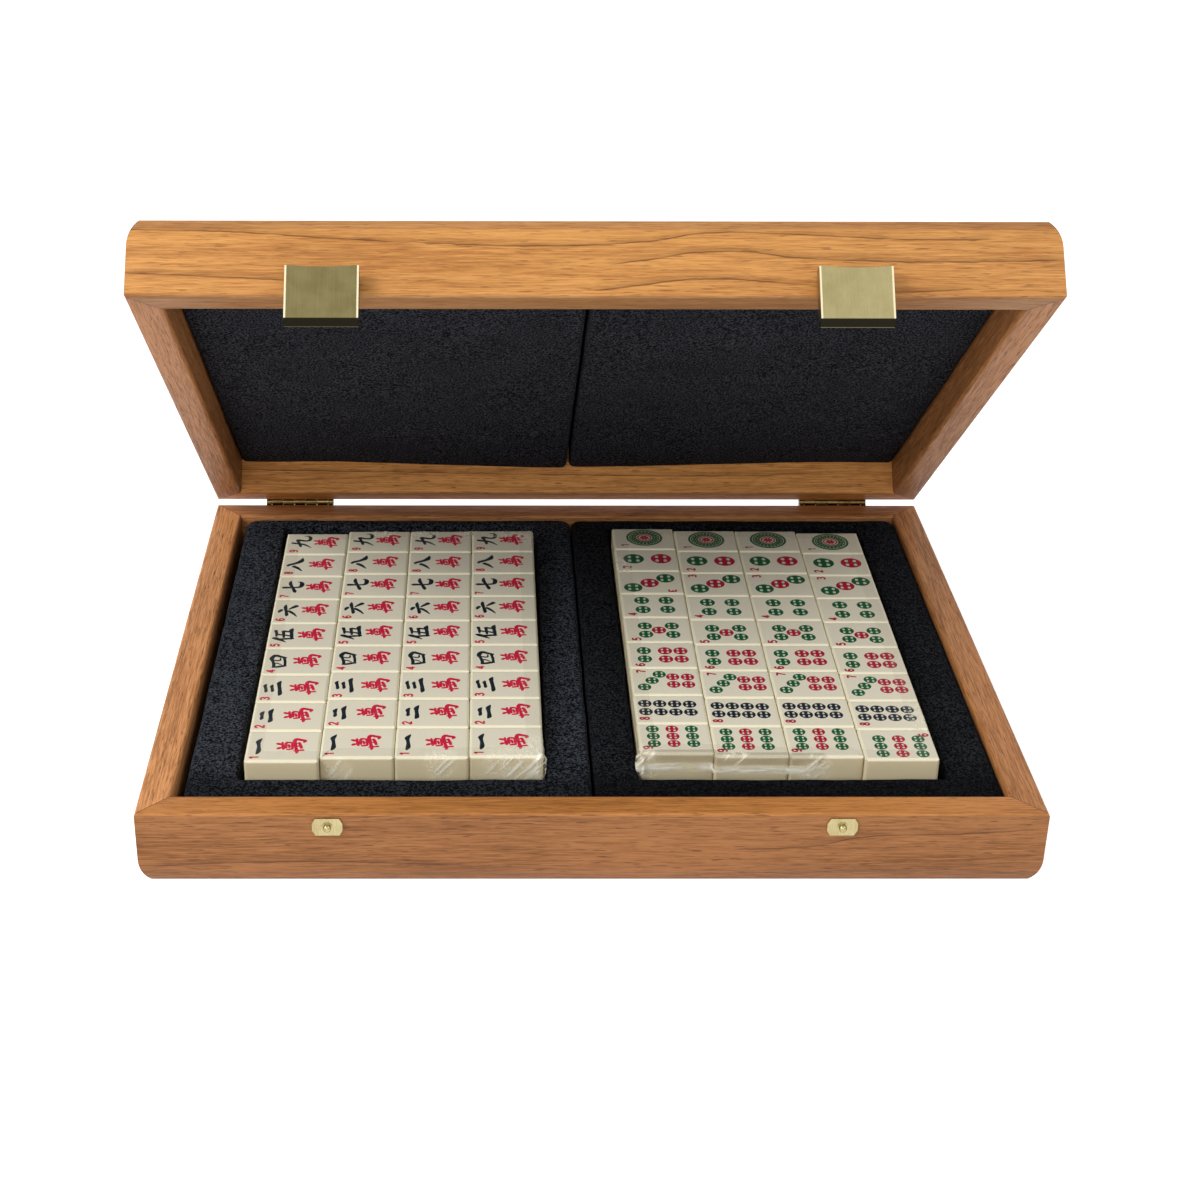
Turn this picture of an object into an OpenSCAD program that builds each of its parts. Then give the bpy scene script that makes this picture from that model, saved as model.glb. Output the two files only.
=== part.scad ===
// Mahjong case. Two mitred wooden shells are hinged along the back and shut with two
// sprung clasps at the front. The base shell holds two foam trays, each with a block of
// tiles two layers deep and four columns wide, and the lid shell is lined with two pads.
// Lengths are millimetres. X runs to the right, Y to the back and Z up, from the middle
// of the base's underside. Everything on the lid is drawn shut and then turned open.

/* [Case] */
// Outside width of both shells
case_w = 360; // [335:1:420]
// Outside depth of both shells, from front to back
case_d = 285; // [278:1:330]
// Height of the base shell
base_h = 33.5; // [31:0.5:38]
// Height of the lid shell
lid_h = 33; // [31:0.5:40]
// Thickness of the mitred walls
wall_t = 13.5; // [12.5:0.5:15]
// Radius of the curve that draws each shell in towards its panel
skirt_r = 20.5; // [18:0.5:26]
// Height over which that curve runs
skirt_h = 12; // [8:0.5:12.5]
// Round-over along the inner edge of each rim
inner_round = 1.6; // [1:0.2:4]
// Small round along the outer edge of each rim
outer_round = 1.2; // [0.6:0.1:2]
// Thickness of the floor and of the lid panel
panel_t = 4; // [3:0.5:5]
// Width of the rabbet that each panel sits in
rabbet_w = 6; // [4:0.5:7]
// Gap between the two rims when the case is shut
rim_gap = 0.4; // [0.3:0.1:1]
// Angle that the lid stands open at
lid_open = 40.8; // [0:0.1:178]

/* [Foam] */
// Depth of the trays' top face below the base rim
foam_recess = 1.8; // [1:0.1:4]
// Foam left under the tiles
pocket_floor = 2.6; // [1.5:0.1:4]
// Corner radius of the trays, seen from above
foam_corner_r = 9; // [4:0.5:12]
// Soft round along their exposed edges
foam_edge_r = 2.5; // [1:0.5:3.5]
// Gap between the left wall and the left tray
tray_side_gap = 3; // [0.5:0.1:5]
// Gap at the seam between the two trays, and between the two pads
seam_gap = 0.4; // [0.3:0.1:2]
// Gap left round the trays and the pads where they meet the wood
foam_clear = 0.1; // [0.05:0.05:0.5]
// Rows of tiles that a pocket is cut for
pocket_rows = 10; // [10:1:10]
// Spare length in a pocket, front to back
pocket_slack_y = 2.6; // [2.5:0.1:8]
// Spare width in a pocket
pocket_slack_x = 4.6; // [4.5:0.1:8]
// Corner radius of a pocket
pocket_r = 2; // [1:0.5:4]
// Distance of the pockets' middle behind the middle of the case
pocket_shift_y = 3.6; // [1:0.1:5]
// Distance of the left pocket right of its tray's middle
left_pocket_shift = 1.3; // [-2:0.1:2]
// Distance of the right pocket right of its tray's middle
right_pocket_shift = -1.1; // [-2:0.1:2]
// Corner radius of the lid pads
pad_corner_r = 4; // [2:0.5:10]
// Depth of the lid pads' face below the lid rim
pad_recess = 14.6; // [12:0.1:18]

/* [Tiles] */
// Long side of a tile's face
tile_l = 30.2; // [27:0.1:31]
// Short side of a tile's face
tile_w = 23.1; // [20:0.1:23.3]
// Thickness of a tile
tile_t = 16.5; // [15:0.1:17.5]
// Round along the tile's edges
tile_round = 1.3; // [0.6:0.1:2]
// Gap between neighbouring tiles
tile_gap = 0.15; // [0.05:0.05:0.2]
// Gap between the front of a block, before its columns slip, and the front of its pocket
block_front_gap = 2.9; // [2.8:0.1:4]
// Distance of the left block right of its pocket's middle
left_block_shift = 0.8; // [-1:0.1:1.5]
// Distance of the right block right of its pocket's middle
right_block_shift = -1.4; // [-1.9:0.1:1]
// Thickness of the shrink film round each block
film_t = 0.2; // [0.1:0.05:0.25]

/* [Hinges] */
// Distance of a hinge's middle from the case's side
hinge_inset = 42.4; // [30:0.1:90]
// Length of a hinge along the back
hinge_w = 34.6; // [30:0.2:42]
// Height of a hinge leaf on the wall
leaf_h = 13; // [11:0.5:17]
// Thickness of a leaf
leaf_t = 1.2; // [0.8:0.1:1.4]
// Outside diameter of the knuckles
barrel_d = 4.6; // [4.2:0.1:5]
// Distance of the hinge pin behind the back walls
hinge_back = 2.9; // [2.8:0.1:3.4]
// Length of the short knuckle at each end
end_knuckle = 2.8; // [2:0.2:4]
// Gap between neighbouring knuckles
knuckle_gap = 0.3; // [0.2:0.1:0.5]
// Diameter of a hinge pin
hinge_pin_d = 2.2; // [1.8:0.1:2.6]
// Play round every pin
pin_play = 0.05; // [0.02:0.01:0.1]

/* [Clasps] */
// Distance of the left clasp's middle from the case's side
left_clasp_inset = 75.8; // [40:0.1:110]
// Distance of the right clasp's middle from the case's side
right_clasp_inset = 81.4; // [40:0.1:110]
// Width of a clasp's cover
cover_w = 28.2; // [24:0.2:34]
// Distance of the cover's face in front of the wood
cover_depth = 7; // [6.8:0.1:8]
// Sheet thickness of the cover
cover_t = 0.9; // [0.6:0.1:1]
// Distance that the cover's face reaches below the lid rim
cover_drop = 10.8; // [10:0.1:14]
// Depth of the lip bent in at the cover's foot
lip = 2.8; // [2:0.1:2.9]
// Gap between the wood and the cover's side flanges
flange_gap = 1.2; // [1:0.1:1.5]
// Height of the clasp pin above the lid rim
clasp_pin_h = 7.8; // [6:0.1:9]
// Distance of the clasp pin in front of the wood
clasp_pin_out = 3.6; // [3.4:0.1:3.8]
// Diameter of a clasp pin
clasp_pin_d = 1.6; // [1.2:0.1:2]
// Sheet thickness of the brackets and keepers
bracket_t = 0.8; // [0.5:0.1:0.9]
// Gap between a bracket's ears and the cover's flanges
ear_gap = 0.3; // [0.2:0.1:0.6]
// Sheet thickness of the catch spring
spring_t = 0.4; // [0.3:0.05:0.6]
// Width of the catch spring
spring_w = 6; // [4:0.5:9]
// Gap between the catch spring and the keeper's stud
spring_gap = 0.3; // [0.1:0.1:0.5]
// Width of a keeper
keeper_w = 12; // [10:0.2:15]
// Height of a keeper
keeper_h = 7.8; // [7:0.2:8.4]
// Distance of a keeper's middle below the base rim
keeper_drop = 5.6; // [4.2:0.1:6]
// Diameter of the keeper's round stud
stud_d = 3.2; // [2.6:0.1:3.4]
// Distance that the stud stands out from the wood
stud_out = 3.2; // [2.6:0.1:3.3]

/* [Screws] */
// Head diameter of the hinge screws
hinge_head_d = 4; // [3.4:0.1:4.6]
// Head diameter of the clasp screws
clasp_head_d = 2.6; // [2.2:0.1:3]
// Shank diameter of every screw and nail, as a share of its head
shank_share = 0.5; // [0.4:0.05:0.6]
// Length of the hinge screws
hinge_screw_l = 9; // [6:0.5:11]
// Length of the clasp screws
clasp_screw_l = 7; // [5:0.5:10]
// Length of the keeper nails and of the stud's shank
nail_l = 6; // [4:0.5:9]
// Play round screws and nails
screw_play = 0.04; // [0.02:0.01:0.08]

/* [Hidden] */
$fn = 48;

oak = "#c08a55";
oak_light = "#cf9658";
foam = "#26282c";
ivory = "#d8d4bf";
clear_film = "#e8e8e4";
pale_brass = "#b9a878";

// Room inside the walls, and the trays and pads that share its width
inner_w = case_w - 2 * wall_t;
inner_d = case_d - 2 * wall_t;
tray_w = (inner_w - tray_side_gap - seam_gap - foam_clear) / 2;
tray_d = inner_d - 2 * foam_clear;
tray_h = base_h - foam_recess - panel_t;
left_tray_x = -inner_w / 2 + tray_side_gap + tray_w / 2;
right_tray_x = left_tray_x + tray_w + seam_gap;
pad_w = (inner_w - seam_gap) / 2 - foam_clear;
pad_t = lid_h - panel_t - pad_recess;

// Tile blocks: four columns of nine rows, pushed towards the front of their pockets
COLUMNS = 4;
ROWS = 9;
pitch_x = tile_l + tile_gap;
pitch_y = tile_w + tile_gap;
pocket_w = COLUMNS * pitch_x + pocket_slack_x;
pocket_d = pocket_rows * pitch_y + pocket_slack_y;
left_pocket_x = left_tray_x + left_pocket_shift;
right_pocket_x = right_tray_x + right_pocket_shift;
left_block_x = left_pocket_x + left_block_shift;
right_block_x = right_pocket_x + right_block_shift;
block_y = pocket_shift_y - pocket_d / 2 + block_front_gap + ROWS * pitch_y / 2;
pocket_z = panel_t + pocket_floor;
// Distance that each column has slipped back, from left to right
left_slip = [-2.3, 0.4, 0.5, 1.1];
right_slip = [3.6, 1.4, 1.1, -0.9];

// Hinge axis, behind the back walls and halfway across the rim gap
hinge_y = case_d / 2 + hinge_back;
hinge_z = base_h + rim_gap / 2;
hinge_x = case_w / 2 - hinge_inset;
mid_knuckle = (hinge_w - 2 * end_knuckle) / 5;
BASE_KNUCKLES = [0, 2, 4, 6];
LID_KNUCKLES = [1, 3, 5];
// A leaf stops short of the other leaf's knuckles, clear of their whole turn
leaf_notch = sqrt(pow(barrel_d / 2 + knuckle_gap, 2) - pow(hinge_back - leaf_t, 2));
leaf_corner_r = 1;
leaf_margin = 2.5;
hinge_screw_x = hinge_w / 2 - hinge_head_d / 2 - leaf_margin;
hinge_screw_z = (leaf_notch + leaf_h) / 2;

left_clasp_x = -case_w / 2 + left_clasp_inset;
right_clasp_x = case_w / 2 - right_clasp_inset;
// The flanges turn about the clasp pin, clear of the wood, and the ears inside the cover
flange_r = clasp_pin_out - flange_gap;
cover_top = clasp_pin_h + flange_r;
ear_x = cover_w / 2 - cover_t - ear_gap;
ear_r = min(flange_r, cover_depth - cover_t - clasp_pin_out) - ear_gap;
ear_l = 4.5;
bracket_foot = clasp_pin_h - ear_l - 1;
clasp_screw_x = 7.5;
clasp_screw_h = (bracket_foot + clasp_pin_h) / 2;
// Dip in the cover's top edge, and how much of that edge stays straight at each side
cover_dip = 0.6;
cover_shoulder = 1;
spring_root_h = [0.2, 3.5];
spring_heel = 2;
spring_toe = 4;
// Corners cut off the keeper, its nails, and the collar round its stud
keeper_cut = [1.3, 2.3];
keeper_nail_x = keeper_w / 2 - 1.9;
nail_head_d = 2;
stud_collar = [0.6, 0.3];

module rounded_rect(w, d, r) {
    for (s = [-1, 1]) {
        for (t = [-1, 1]) {
            translate([s * (w / 2 - r), t * (d / 2 - r)]) circle(r);
        }
    }
    square([w - 2 * r, d], center = true);
    square([w, d - 2 * r], center = true);
}

// Profile extruded along X, its first axis to the back and its second up
module run_x(length) {
    rotate([90, 0, 90]) linear_extrude(length, center = true) children();
}

// Profile extruded along Y, its first axis to the right and its second up
module run_y(length) {
    rotate([90, 0, 0]) linear_extrude(length, center = true) children();
}

// Outline seen from the front, given thickness t towards the front
module face_front(t) {
    rotate([90, 0, 0]) linear_extrude(t) children();
}

// Profile across a clasp extruded along X, its first axis to the front and its second up
module across_clasp(length) {
    rotate([90, 0, -90]) linear_extrude(length, center = true) children();
}

// Wall section: outer face on the left, panel rabbet at the foot, rounded rim at the top
module wall_section(h) {
    difference() {
        square([wall_t, h]);
        difference() {
            translate([-1, -1]) square([1 + skirt_r, 1 + skirt_h]);
            translate([skirt_r, skirt_h]) circle(skirt_r, $fn = 144);
            translate([skirt_r / 2, -2]) square([skirt_r, 3 + skirt_h]);
        }
        translate([wall_t - rabbet_w, -1]) square([rabbet_w + 1, panel_t + 1]);
        translate([wall_t - inner_round, h - inner_round]) {
            difference() {
                square(inner_round + 1);
                circle(inner_round);
            }
        }
        translate([outer_round, h - outer_round]) {
            difference() {
                translate([-outer_round - 1, 0]) square(outer_round + 1);
                circle(outer_round);
            }
        }
    }
}

// One wall of a shell, mitred at both ends, its outer face towards -Y
module mitred_wall(length, depth, h) {
    intersection() {
        translate([0, -depth / 2, 0]) run_x(length) wall_section(h);
        linear_extrude(h) polygon([
            [-length / 2, -depth / 2],
            [length / 2, -depth / 2],
            [length / 2 - wall_t, -depth / 2 + wall_t],
            [-length / 2 + wall_t, -depth / 2 + wall_t]
        ]);
    }
}

module front_wall(h) { mitred_wall(case_w, case_d, h); }
module back_wall(h) { rotate(180) mitred_wall(case_w, case_d, h); }
module left_wall(h) { rotate(-90) mitred_wall(case_d, case_w, h); }
module right_wall(h) { rotate(90) mitred_wall(case_d, case_w, h); }

module shell_panel() {
    side = wall_t - rabbet_w;
    translate([-case_w / 2 + side, -case_d / 2 + side, 0]) {
        cube([case_w - 2 * side, case_d - 2 * side, panel_t]);
    }
}

// Lid pieces are drawn as on a base shell, turned over on top of it, and opened
module lid_shut() {
    translate([0, 0, base_h + rim_gap + lid_h]) mirror([0, 0, 1]) children();
}

module lid_opened() {
    translate([0, hinge_y, hinge_z]) rotate([-lid_open, 0, 0]) {
        translate([0, -hinge_y, -hinge_z]) children();
    }
}

// Screw or nail on the Z axis, head up at the origin: the solid, or with play the hole
module screw(length, head_d, play = 0) {
    shank_d = head_d * shank_share;
    head_h = (head_d - shank_d) / 2;
    translate([0, 0, -head_h]) cylinder(h = head_h, d1 = shank_d + 2 * play, d2 = head_d + 2 * play);
    translate([0, 0, -length - play]) cylinder(h = length + play, d = shank_d + 2 * play);
}

module slotted_screw(length, head_d) {
    slot_w = head_d / 6;
    difference() {
        screw(length, head_d);
        translate([-head_d, -slot_w / 2, -slot_w]) cube([2 * head_d, slot_w, 2 * slot_w]);
    }
}

// Places in the base frame or, for the lid, in the shut frame
module at_hinge(side) { translate([side * hinge_x, case_d / 2, hinge_z]) children(); }
module at_hinges() { for (side = [-1, 1]) at_hinge(side) children(); }
module at_clasp(x) { translate([x, -case_d / 2, base_h + rim_gap]) children(); }
module at_keeper(x) { translate([x, -case_d / 2, base_h - keeper_drop]) children(); }

// Screws of one leaf, three in a row; up is 1 on the lid and -1 on the base
module at_leaf_screws(up) {
    for (i = [-1, 0, 1]) {
        translate([i * hinge_screw_x, leaf_t, up * hinge_screw_z]) rotate([-90, 0, 0]) children();
    }
}

module at_clasp_screws() {
    for (i = [-1, 1]) {
        translate([i * clasp_screw_x, -bracket_t, clasp_screw_h]) rotate([90, 0, 0]) children();
    }
}

module at_keeper_nails() {
    for (i = [-1, 1]) {
        translate([i * keeper_nail_x, -bracket_t, 0]) rotate([90, 0, 0]) children();
    }
}

module base_front_wall() {
    color(oak) difference() {
        front_wall(base_h);
        for (x = [left_clasp_x, right_clasp_x]) {
            at_keeper(x) {
                stud_shank(screw_play);
                at_keeper_nails() screw(nail_l, nail_head_d, screw_play);
            }
        }
    }
}

module base_back_wall() {
    color(oak) difference() {
        back_wall(base_h);
        at_hinges() at_leaf_screws(-1) screw(hinge_screw_l, hinge_head_d, screw_play);
    }
}

module base_left_wall() { color(oak) left_wall(base_h); }
module base_right_wall() { color(oak) right_wall(base_h); }
module base_floor_panel() { color(oak_light) shell_panel(); }

module lid_front_wall() {
    color(oak_light) lid_opened() difference() {
        lid_shut() front_wall(lid_h);
        for (x = [left_clasp_x, right_clasp_x]) {
            at_clasp(x) at_clasp_screws() screw(clasp_screw_l, clasp_head_d, screw_play);
        }
    }
}

module lid_back_wall() {
    color(oak) lid_opened() difference() {
        lid_shut() back_wall(lid_h);
        at_hinges() at_leaf_screws(1) screw(hinge_screw_l, hinge_head_d, screw_play);
    }
}

module lid_left_wall() { color(oak) lid_opened() lid_shut() left_wall(lid_h); }
module lid_right_wall() { color(oak) lid_opened() lid_shut() right_wall(lid_h); }
module lid_top_panel() { color(oak_light) lid_opened() lid_shut() shell_panel(); }

// Foam slab standing on z = 0, with upright corners and upper edges rounded
module foam_slab(w, d, h, corner_r) {
    intersection() {
        linear_extrude(h) rounded_rect(w, d, corner_r);
        run_x(w) arched_rect(d, h, foam_edge_r);
        run_y(d) arched_rect(w, h, foam_edge_r);
    }
}

// Rectangle standing on the axis, its two upper corners rounded
module arched_rect(w, h, r) {
    translate([-w / 2, 0]) square([w, h - r]);
    translate([-w / 2 + r, 0]) square([w - 2 * r, h]);
    for (s = [-1, 1]) {
        translate([s * (w / 2 - r), h - r]) circle(r);
    }
}

module foam_tray(tray_x, pocket_x) {
    color(foam) difference() {
        translate([tray_x, 0, panel_t]) foam_slab(tray_w, tray_d, tray_h, foam_corner_r);
        translate([pocket_x, pocket_shift_y, pocket_z]) {
            linear_extrude(base_h) rounded_rect(pocket_w, pocket_d, pocket_r);
        }
    }
}

module lid_pad(side) {
    color(foam) lid_opened() lid_shut() {
        translate([side * (seam_gap + pad_w) / 2, 0, panel_t]) {
            foam_slab(pad_w, tray_d, pad_t, pad_corner_r);
        }
    }
}

// Tile standing on z = 0 with its face up, all edges rounded
module tile() {
    translate([0, 0, tile_t / 2]) intersection() {
        linear_extrude(tile_t, center = true) rounded_rect(tile_l, tile_w, tile_round);
        run_x(tile_l) rounded_rect(tile_w, tile_t, tile_round);
        run_y(tile_w) rounded_rect(tile_l, tile_t, tile_round);
    }
}

// One row of a block, counted from the front, on the lower layer (0) or the upper one (1)
module tile_row(block_x, slip, layer, row) {
    for (col = [0 : COLUMNS - 1]) {
        translate([
            block_x + (col - (COLUMNS - 1) / 2) * pitch_x,
            block_y + (row - (ROWS - 1) / 2) * pitch_y + slip[col],
            pocket_z + layer * tile_t
        ]) tile();
    }
}

module character_rank(rank) { color(ivory) tile_row(left_block_x, left_slip, 1, rank - 1); }
module circle_rank(rank) { color(ivory) tile_row(right_block_x, right_slip, 1, ROWS - rank); }

module lower_rows(block_x, slip, rows) {
    color(ivory) for (row = rows) tile_row(block_x, slip, 0, row);
}

module bamboo_tiles() { lower_rows(left_block_x, left_slip, [0 : ROWS - 1]); }
module wind_tiles() { lower_rows(right_block_x, right_slip, [0 : 3]); }
module dragon_tiles() { lower_rows(right_block_x, right_slip, [4 : 6]); }
module flower_tiles() { lower_rows(right_block_x, right_slip, [7 : ROWS - 1]); }

// Outline of a block whose columns have slipped, grown by g on all sides
module block_outline(block_x, slip, g) {
    for (col = [0 : COLUMNS - 1]) {
        translate([block_x + (col - (COLUMNS - 1) / 2) * pitch_x, block_y + slip[col]]) {
            square([pitch_x + 2 * g, ROWS * pitch_y + 2 * g], center = true);
        }
    }
}

module film(block_x, slip) {
    color(clear_film) translate([0, 0, pocket_z]) linear_extrude(2 * tile_t - tile_round) {
        difference() {
            block_outline(block_x, slip, film_t);
            block_outline(block_x, slip, 0);
        }
    }
}

module left_film() { film(left_block_x, left_slip); }
module right_film() { film(right_block_x, right_slip); }

// Left end and length of one knuckle, counted along the hinge from 0 to 6
function knuckle_x(i) = -hinge_w / 2 + (i == 0 ? 0 : end_knuckle + (i - 1) * mid_knuckle);
function knuckle_l(i) = (i == 0 || i == 6 ? end_knuckle : mid_knuckle) - knuckle_gap;

// Leaf that rises from the pin, with its own knuckles and tabs; the base's is turned down
module hinge_leaf(own) {
    difference() {
        union() {
            translate([0, leaf_t, leaf_notch]) {
                face_front(leaf_t) arched_rect(hinge_w - knuckle_gap, leaf_h - leaf_notch, leaf_corner_r);
            }
            for (i = own) {
                translate([knuckle_x(i) + knuckle_gap / 2, 0, 0]) {
                    cube([knuckle_l(i), leaf_t, leaf_notch + leaf_corner_r]);
                    translate([0, hinge_back, 0]) rotate([0, 90, 0]) {
                        cylinder(h = knuckle_l(i), d = barrel_d);
                    }
                }
            }
        }
        translate([-hinge_w, hinge_back, 0]) rotate([0, 90, 0]) {
            cylinder(h = 2 * hinge_w, d = hinge_pin_d + 2 * pin_play);
        }
        at_leaf_screws(1) screw(hinge_screw_l, hinge_head_d, screw_play);
    }
}

module hinge_base_leaf(side) {
    color(pale_brass) at_hinge(side) mirror([0, 0, 1]) hinge_leaf(BASE_KNUCKLES);
}

module hinge_lid_leaf(side) {
    color(pale_brass) lid_opened() at_hinge(side) hinge_leaf(LID_KNUCKLES);
}

module hinge_pin(side) {
    color(pale_brass) at_hinge(side) translate([-hinge_w / 2, hinge_back, 0]) {
        rotate([0, 90, 0]) cylinder(h = hinge_w, d = hinge_pin_d);
    }
}

module base_hinge_screws() {
    color(pale_brass) at_hinges() at_leaf_screws(-1) slotted_screw(hinge_screw_l, hinge_head_d);
}

module lid_hinge_screws() {
    color(pale_brass) lid_opened() at_hinges() {
        at_leaf_screws(1) slotted_screw(hinge_screw_l, hinge_head_d);
    }
}

// Bore through a clasp's flanges and ears
module clasp_bore() {
    translate([-cover_w, -clasp_pin_out, clasp_pin_h]) rotate([0, 90, 0]) {
        cylinder(h = 2 * cover_w, d = clasp_pin_d + 2 * pin_play);
    }
}

// Bracket: a plate on the lid's front wall with two ears round the pin
module clasp_bracket(x) {
    color(pale_brass) lid_opened() at_clasp(x) difference() {
        union() {
            translate([-ear_x, -bracket_t, bracket_foot]) {
                cube([2 * ear_x, bracket_t, clasp_pin_h - bracket_foot]);
            }
            for (s = [-1, 1]) {
                translate([s * (ear_x - bracket_t / 2), 0, 0]) across_clasp(bracket_t) {
                    translate([0, clasp_pin_h - ear_l]) square([clasp_pin_out, ear_l]);
                    translate([clasp_pin_out, clasp_pin_h]) circle(ear_r);
                    polygon([
                        [clasp_pin_out, clasp_pin_h],
                        [clasp_pin_out + ear_r, clasp_pin_h],
                        [clasp_pin_out, clasp_pin_h - ear_l]
                    ]);
                }
            }
        }
        clasp_bore();
        at_clasp_screws() screw(clasp_screw_l, clasp_head_d, screw_play);
    }
}

module clasp_screws() {
    color(pale_brass) lid_opened() for (x = [left_clasp_x, right_clasp_x]) {
        at_clasp(x) at_clasp_screws() screw(clasp_screw_l, clasp_head_d);
    }
}

module clasp_pin(x) {
    color(pale_brass) lid_opened() at_clasp(x) {
        translate([-cover_w / 2, -clasp_pin_out, clasp_pin_h]) rotate([0, 90, 0]) {
            cylinder(h = cover_w, d = clasp_pin_d);
        }
    }
}

// Cover: a face sheet with its foot bent in as a lip, and a flange down each side
module clasp_cover(x) {
    foot = -cover_drop;
    diag = cover_t / sqrt(2);
    dip_half = cover_w / 2 - cover_t - cover_shoulder;
    dip_r = (pow(dip_half, 2) + pow(cover_dip, 2)) / (2 * cover_dip);
    color(pale_brass) lid_opened() at_clasp(x) difference() {
        union() {
            difference() {
                across_clasp(cover_w) polygon([
                    [cover_depth - cover_t, cover_top],
                    [cover_depth, cover_top],
                    [cover_depth, foot],
                    [cover_depth - lip, foot - lip],
                    [cover_depth - lip - diag, foot - lip + diag],
                    [cover_depth - cover_t, foot + cover_t * (sqrt(2) - 1)]
                ]);
                translate([0, 0, cover_top - cover_dip + dip_r]) face_front(2 * cover_depth) {
                    circle(dip_r, $fn = 180);
                }
            }
            for (s = [-1, 1]) {
                translate([s * (cover_w - cover_t) / 2, 0, 0]) across_clasp(cover_t) {
                    translate([clasp_pin_out, clasp_pin_h]) circle(flange_r);
                    polygon([
                        [flange_gap, clasp_pin_h],
                        [clasp_pin_out, clasp_pin_h],
                        [clasp_pin_out, cover_top],
                        [cover_depth, cover_top],
                        [cover_depth, foot],
                        [cover_depth - lip, foot - lip],
                        [flange_gap, foot - 1]
                    ]);
                }
            }
        }
        clasp_bore();
    }
}

// Catch spring: a strip on the cover's inner face that steps down to press on the stud
module catch_spring(x) {
    root = cover_depth - cover_t - spring_t;
    rest = stud_out + spring_gap;
    stud_h = -keeper_drop - rim_gap;
    color(pale_brass) lid_opened() at_clasp(x) across_clasp(spring_w) polygon([
        [root, spring_root_h[1]],
        [root, spring_root_h[0]],
        [rest, stud_h + spring_heel],
        [rest, stud_h - spring_heel],
        [rest + 1, stud_h - spring_toe],
        [rest + 1 + spring_t, stud_h - spring_toe],
        [rest + spring_t, stud_h - spring_heel],
        [rest + spring_t, stud_h + spring_heel],
        [root + spring_t, spring_root_h[0]],
        [root + spring_t, spring_root_h[1]]
    ]);
}

// Keeper: an eight-sided plate nailed to the base's front wall, with a collar round its stud
module keeper(x) {
    half_w = keeper_w / 2;
    half_h = keeper_h / 2;
    color(pale_brass) at_keeper(x) difference() {
        union() {
            face_front(bracket_t) polygon([
                for (s = [[-1, -1], [1, -1], [1, 1], [-1, 1]])
                    for (t = s[0] * s[1] > 0 ? [[1, 0], [0, 1]] : [[0, 1], [1, 0]])
                        [s[0] * (half_w - t[1] * keeper_cut[0]), s[1] * (half_h - t[0] * keeper_cut[1])]
            ]);
            face_front(bracket_t + stud_collar[1]) circle(stud_d / 2 + stud_collar[0]);
        }
        translate([0, 1, 0]) face_front(nail_l) circle(stud_d / 2 + screw_play);
        at_keeper_nails() screw(nail_l, nail_head_d, screw_play);
    }
}

// Shank of a keeper's stud in the wood: the solid, or with play the hole
module stud_shank(play) {
    rotate([-90, 0, 0]) cylinder(h = nail_l + play, d = stud_d / 2 + 2 * play);
}

// Round stud that the catch spring snaps over
module ball_stud(x) {
    color(pale_brass) at_keeper(x) {
        stud_shank(0);
        face_front(stud_out - stud_d / 2) circle(stud_d / 2);
        translate([0, -stud_out + stud_d / 2, 0]) sphere(d = stud_d);
    }
}

module keeper_nails() {
    color(pale_brass) for (x = [left_clasp_x, right_clasp_x]) {
        at_keeper(x) at_keeper_nails() screw(nail_l, nail_head_d);
    }
}

base_front_wall();
base_back_wall();
base_left_wall();
base_right_wall();
base_floor_panel();
foam_tray(left_tray_x, left_pocket_x);  // left_foam_tray
foam_tray(right_tray_x, right_pocket_x);  // right_foam_tray
character_rank(1);  // character_rank_1
character_rank(2);  // character_rank_2
character_rank(3);  // character_rank_3
character_rank(4);  // character_rank_4
character_rank(5);  // character_rank_5
character_rank(6);  // character_rank_6
character_rank(7);  // character_rank_7
character_rank(8);  // character_rank_8
character_rank(9);  // character_rank_9
circle_rank(1);  // circle_rank_1
circle_rank(2);  // circle_rank_2
circle_rank(3);  // circle_rank_3
circle_rank(4);  // circle_rank_4
circle_rank(5);  // circle_rank_5
circle_rank(6);  // circle_rank_6
circle_rank(7);  // circle_rank_7
circle_rank(8);  // circle_rank_8
circle_rank(9);  // circle_rank_9
bamboo_tiles();
wind_tiles();
dragon_tiles();
flower_tiles();
left_film();
right_film();
lid_front_wall();
lid_back_wall();
lid_left_wall();
lid_right_wall();
lid_top_panel();
lid_pad(-1);  // left_lid_pad
lid_pad(1);  // right_lid_pad
hinge_base_leaf(-1);  // left_hinge_base_leaf
hinge_base_leaf(1);  // right_hinge_base_leaf
hinge_lid_leaf(-1);  // left_hinge_lid_leaf
hinge_lid_leaf(1);  // right_hinge_lid_leaf
hinge_pin(-1);  // left_hinge_pin
hinge_pin(1);  // right_hinge_pin
base_hinge_screws();
lid_hinge_screws();
clasp_bracket(left_clasp_x);  // left_clasp_bracket
clasp_bracket(right_clasp_x);  // right_clasp_bracket
clasp_screws();
clasp_pin(left_clasp_x);  // left_clasp_pin
clasp_pin(right_clasp_x);  // right_clasp_pin
clasp_cover(left_clasp_x);  // left_clasp_cover
clasp_cover(right_clasp_x);  // right_clasp_cover
catch_spring(left_clasp_x);  // left_catch_spring
catch_spring(right_clasp_x);  // right_catch_spring
keeper(left_clasp_x);  // left_keeper
keeper(right_clasp_x);  // right_keeper
ball_stud(left_clasp_x);  // left_ball_stud
ball_stud(right_clasp_x);  // right_ball_stud
keeper_nails();
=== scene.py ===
"""Looks of the mahjong case: oiled wood, foam, ivory tiles with their marks, film and brass.

Lengths in this script are millimetres in the part's own frame, and MM turns them to metres.
The lid is drawn shut, as in the part's source, and then turned open about its hinge.
"""

import math

import bpy
from mathutils import Matrix, Vector, noise


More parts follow.
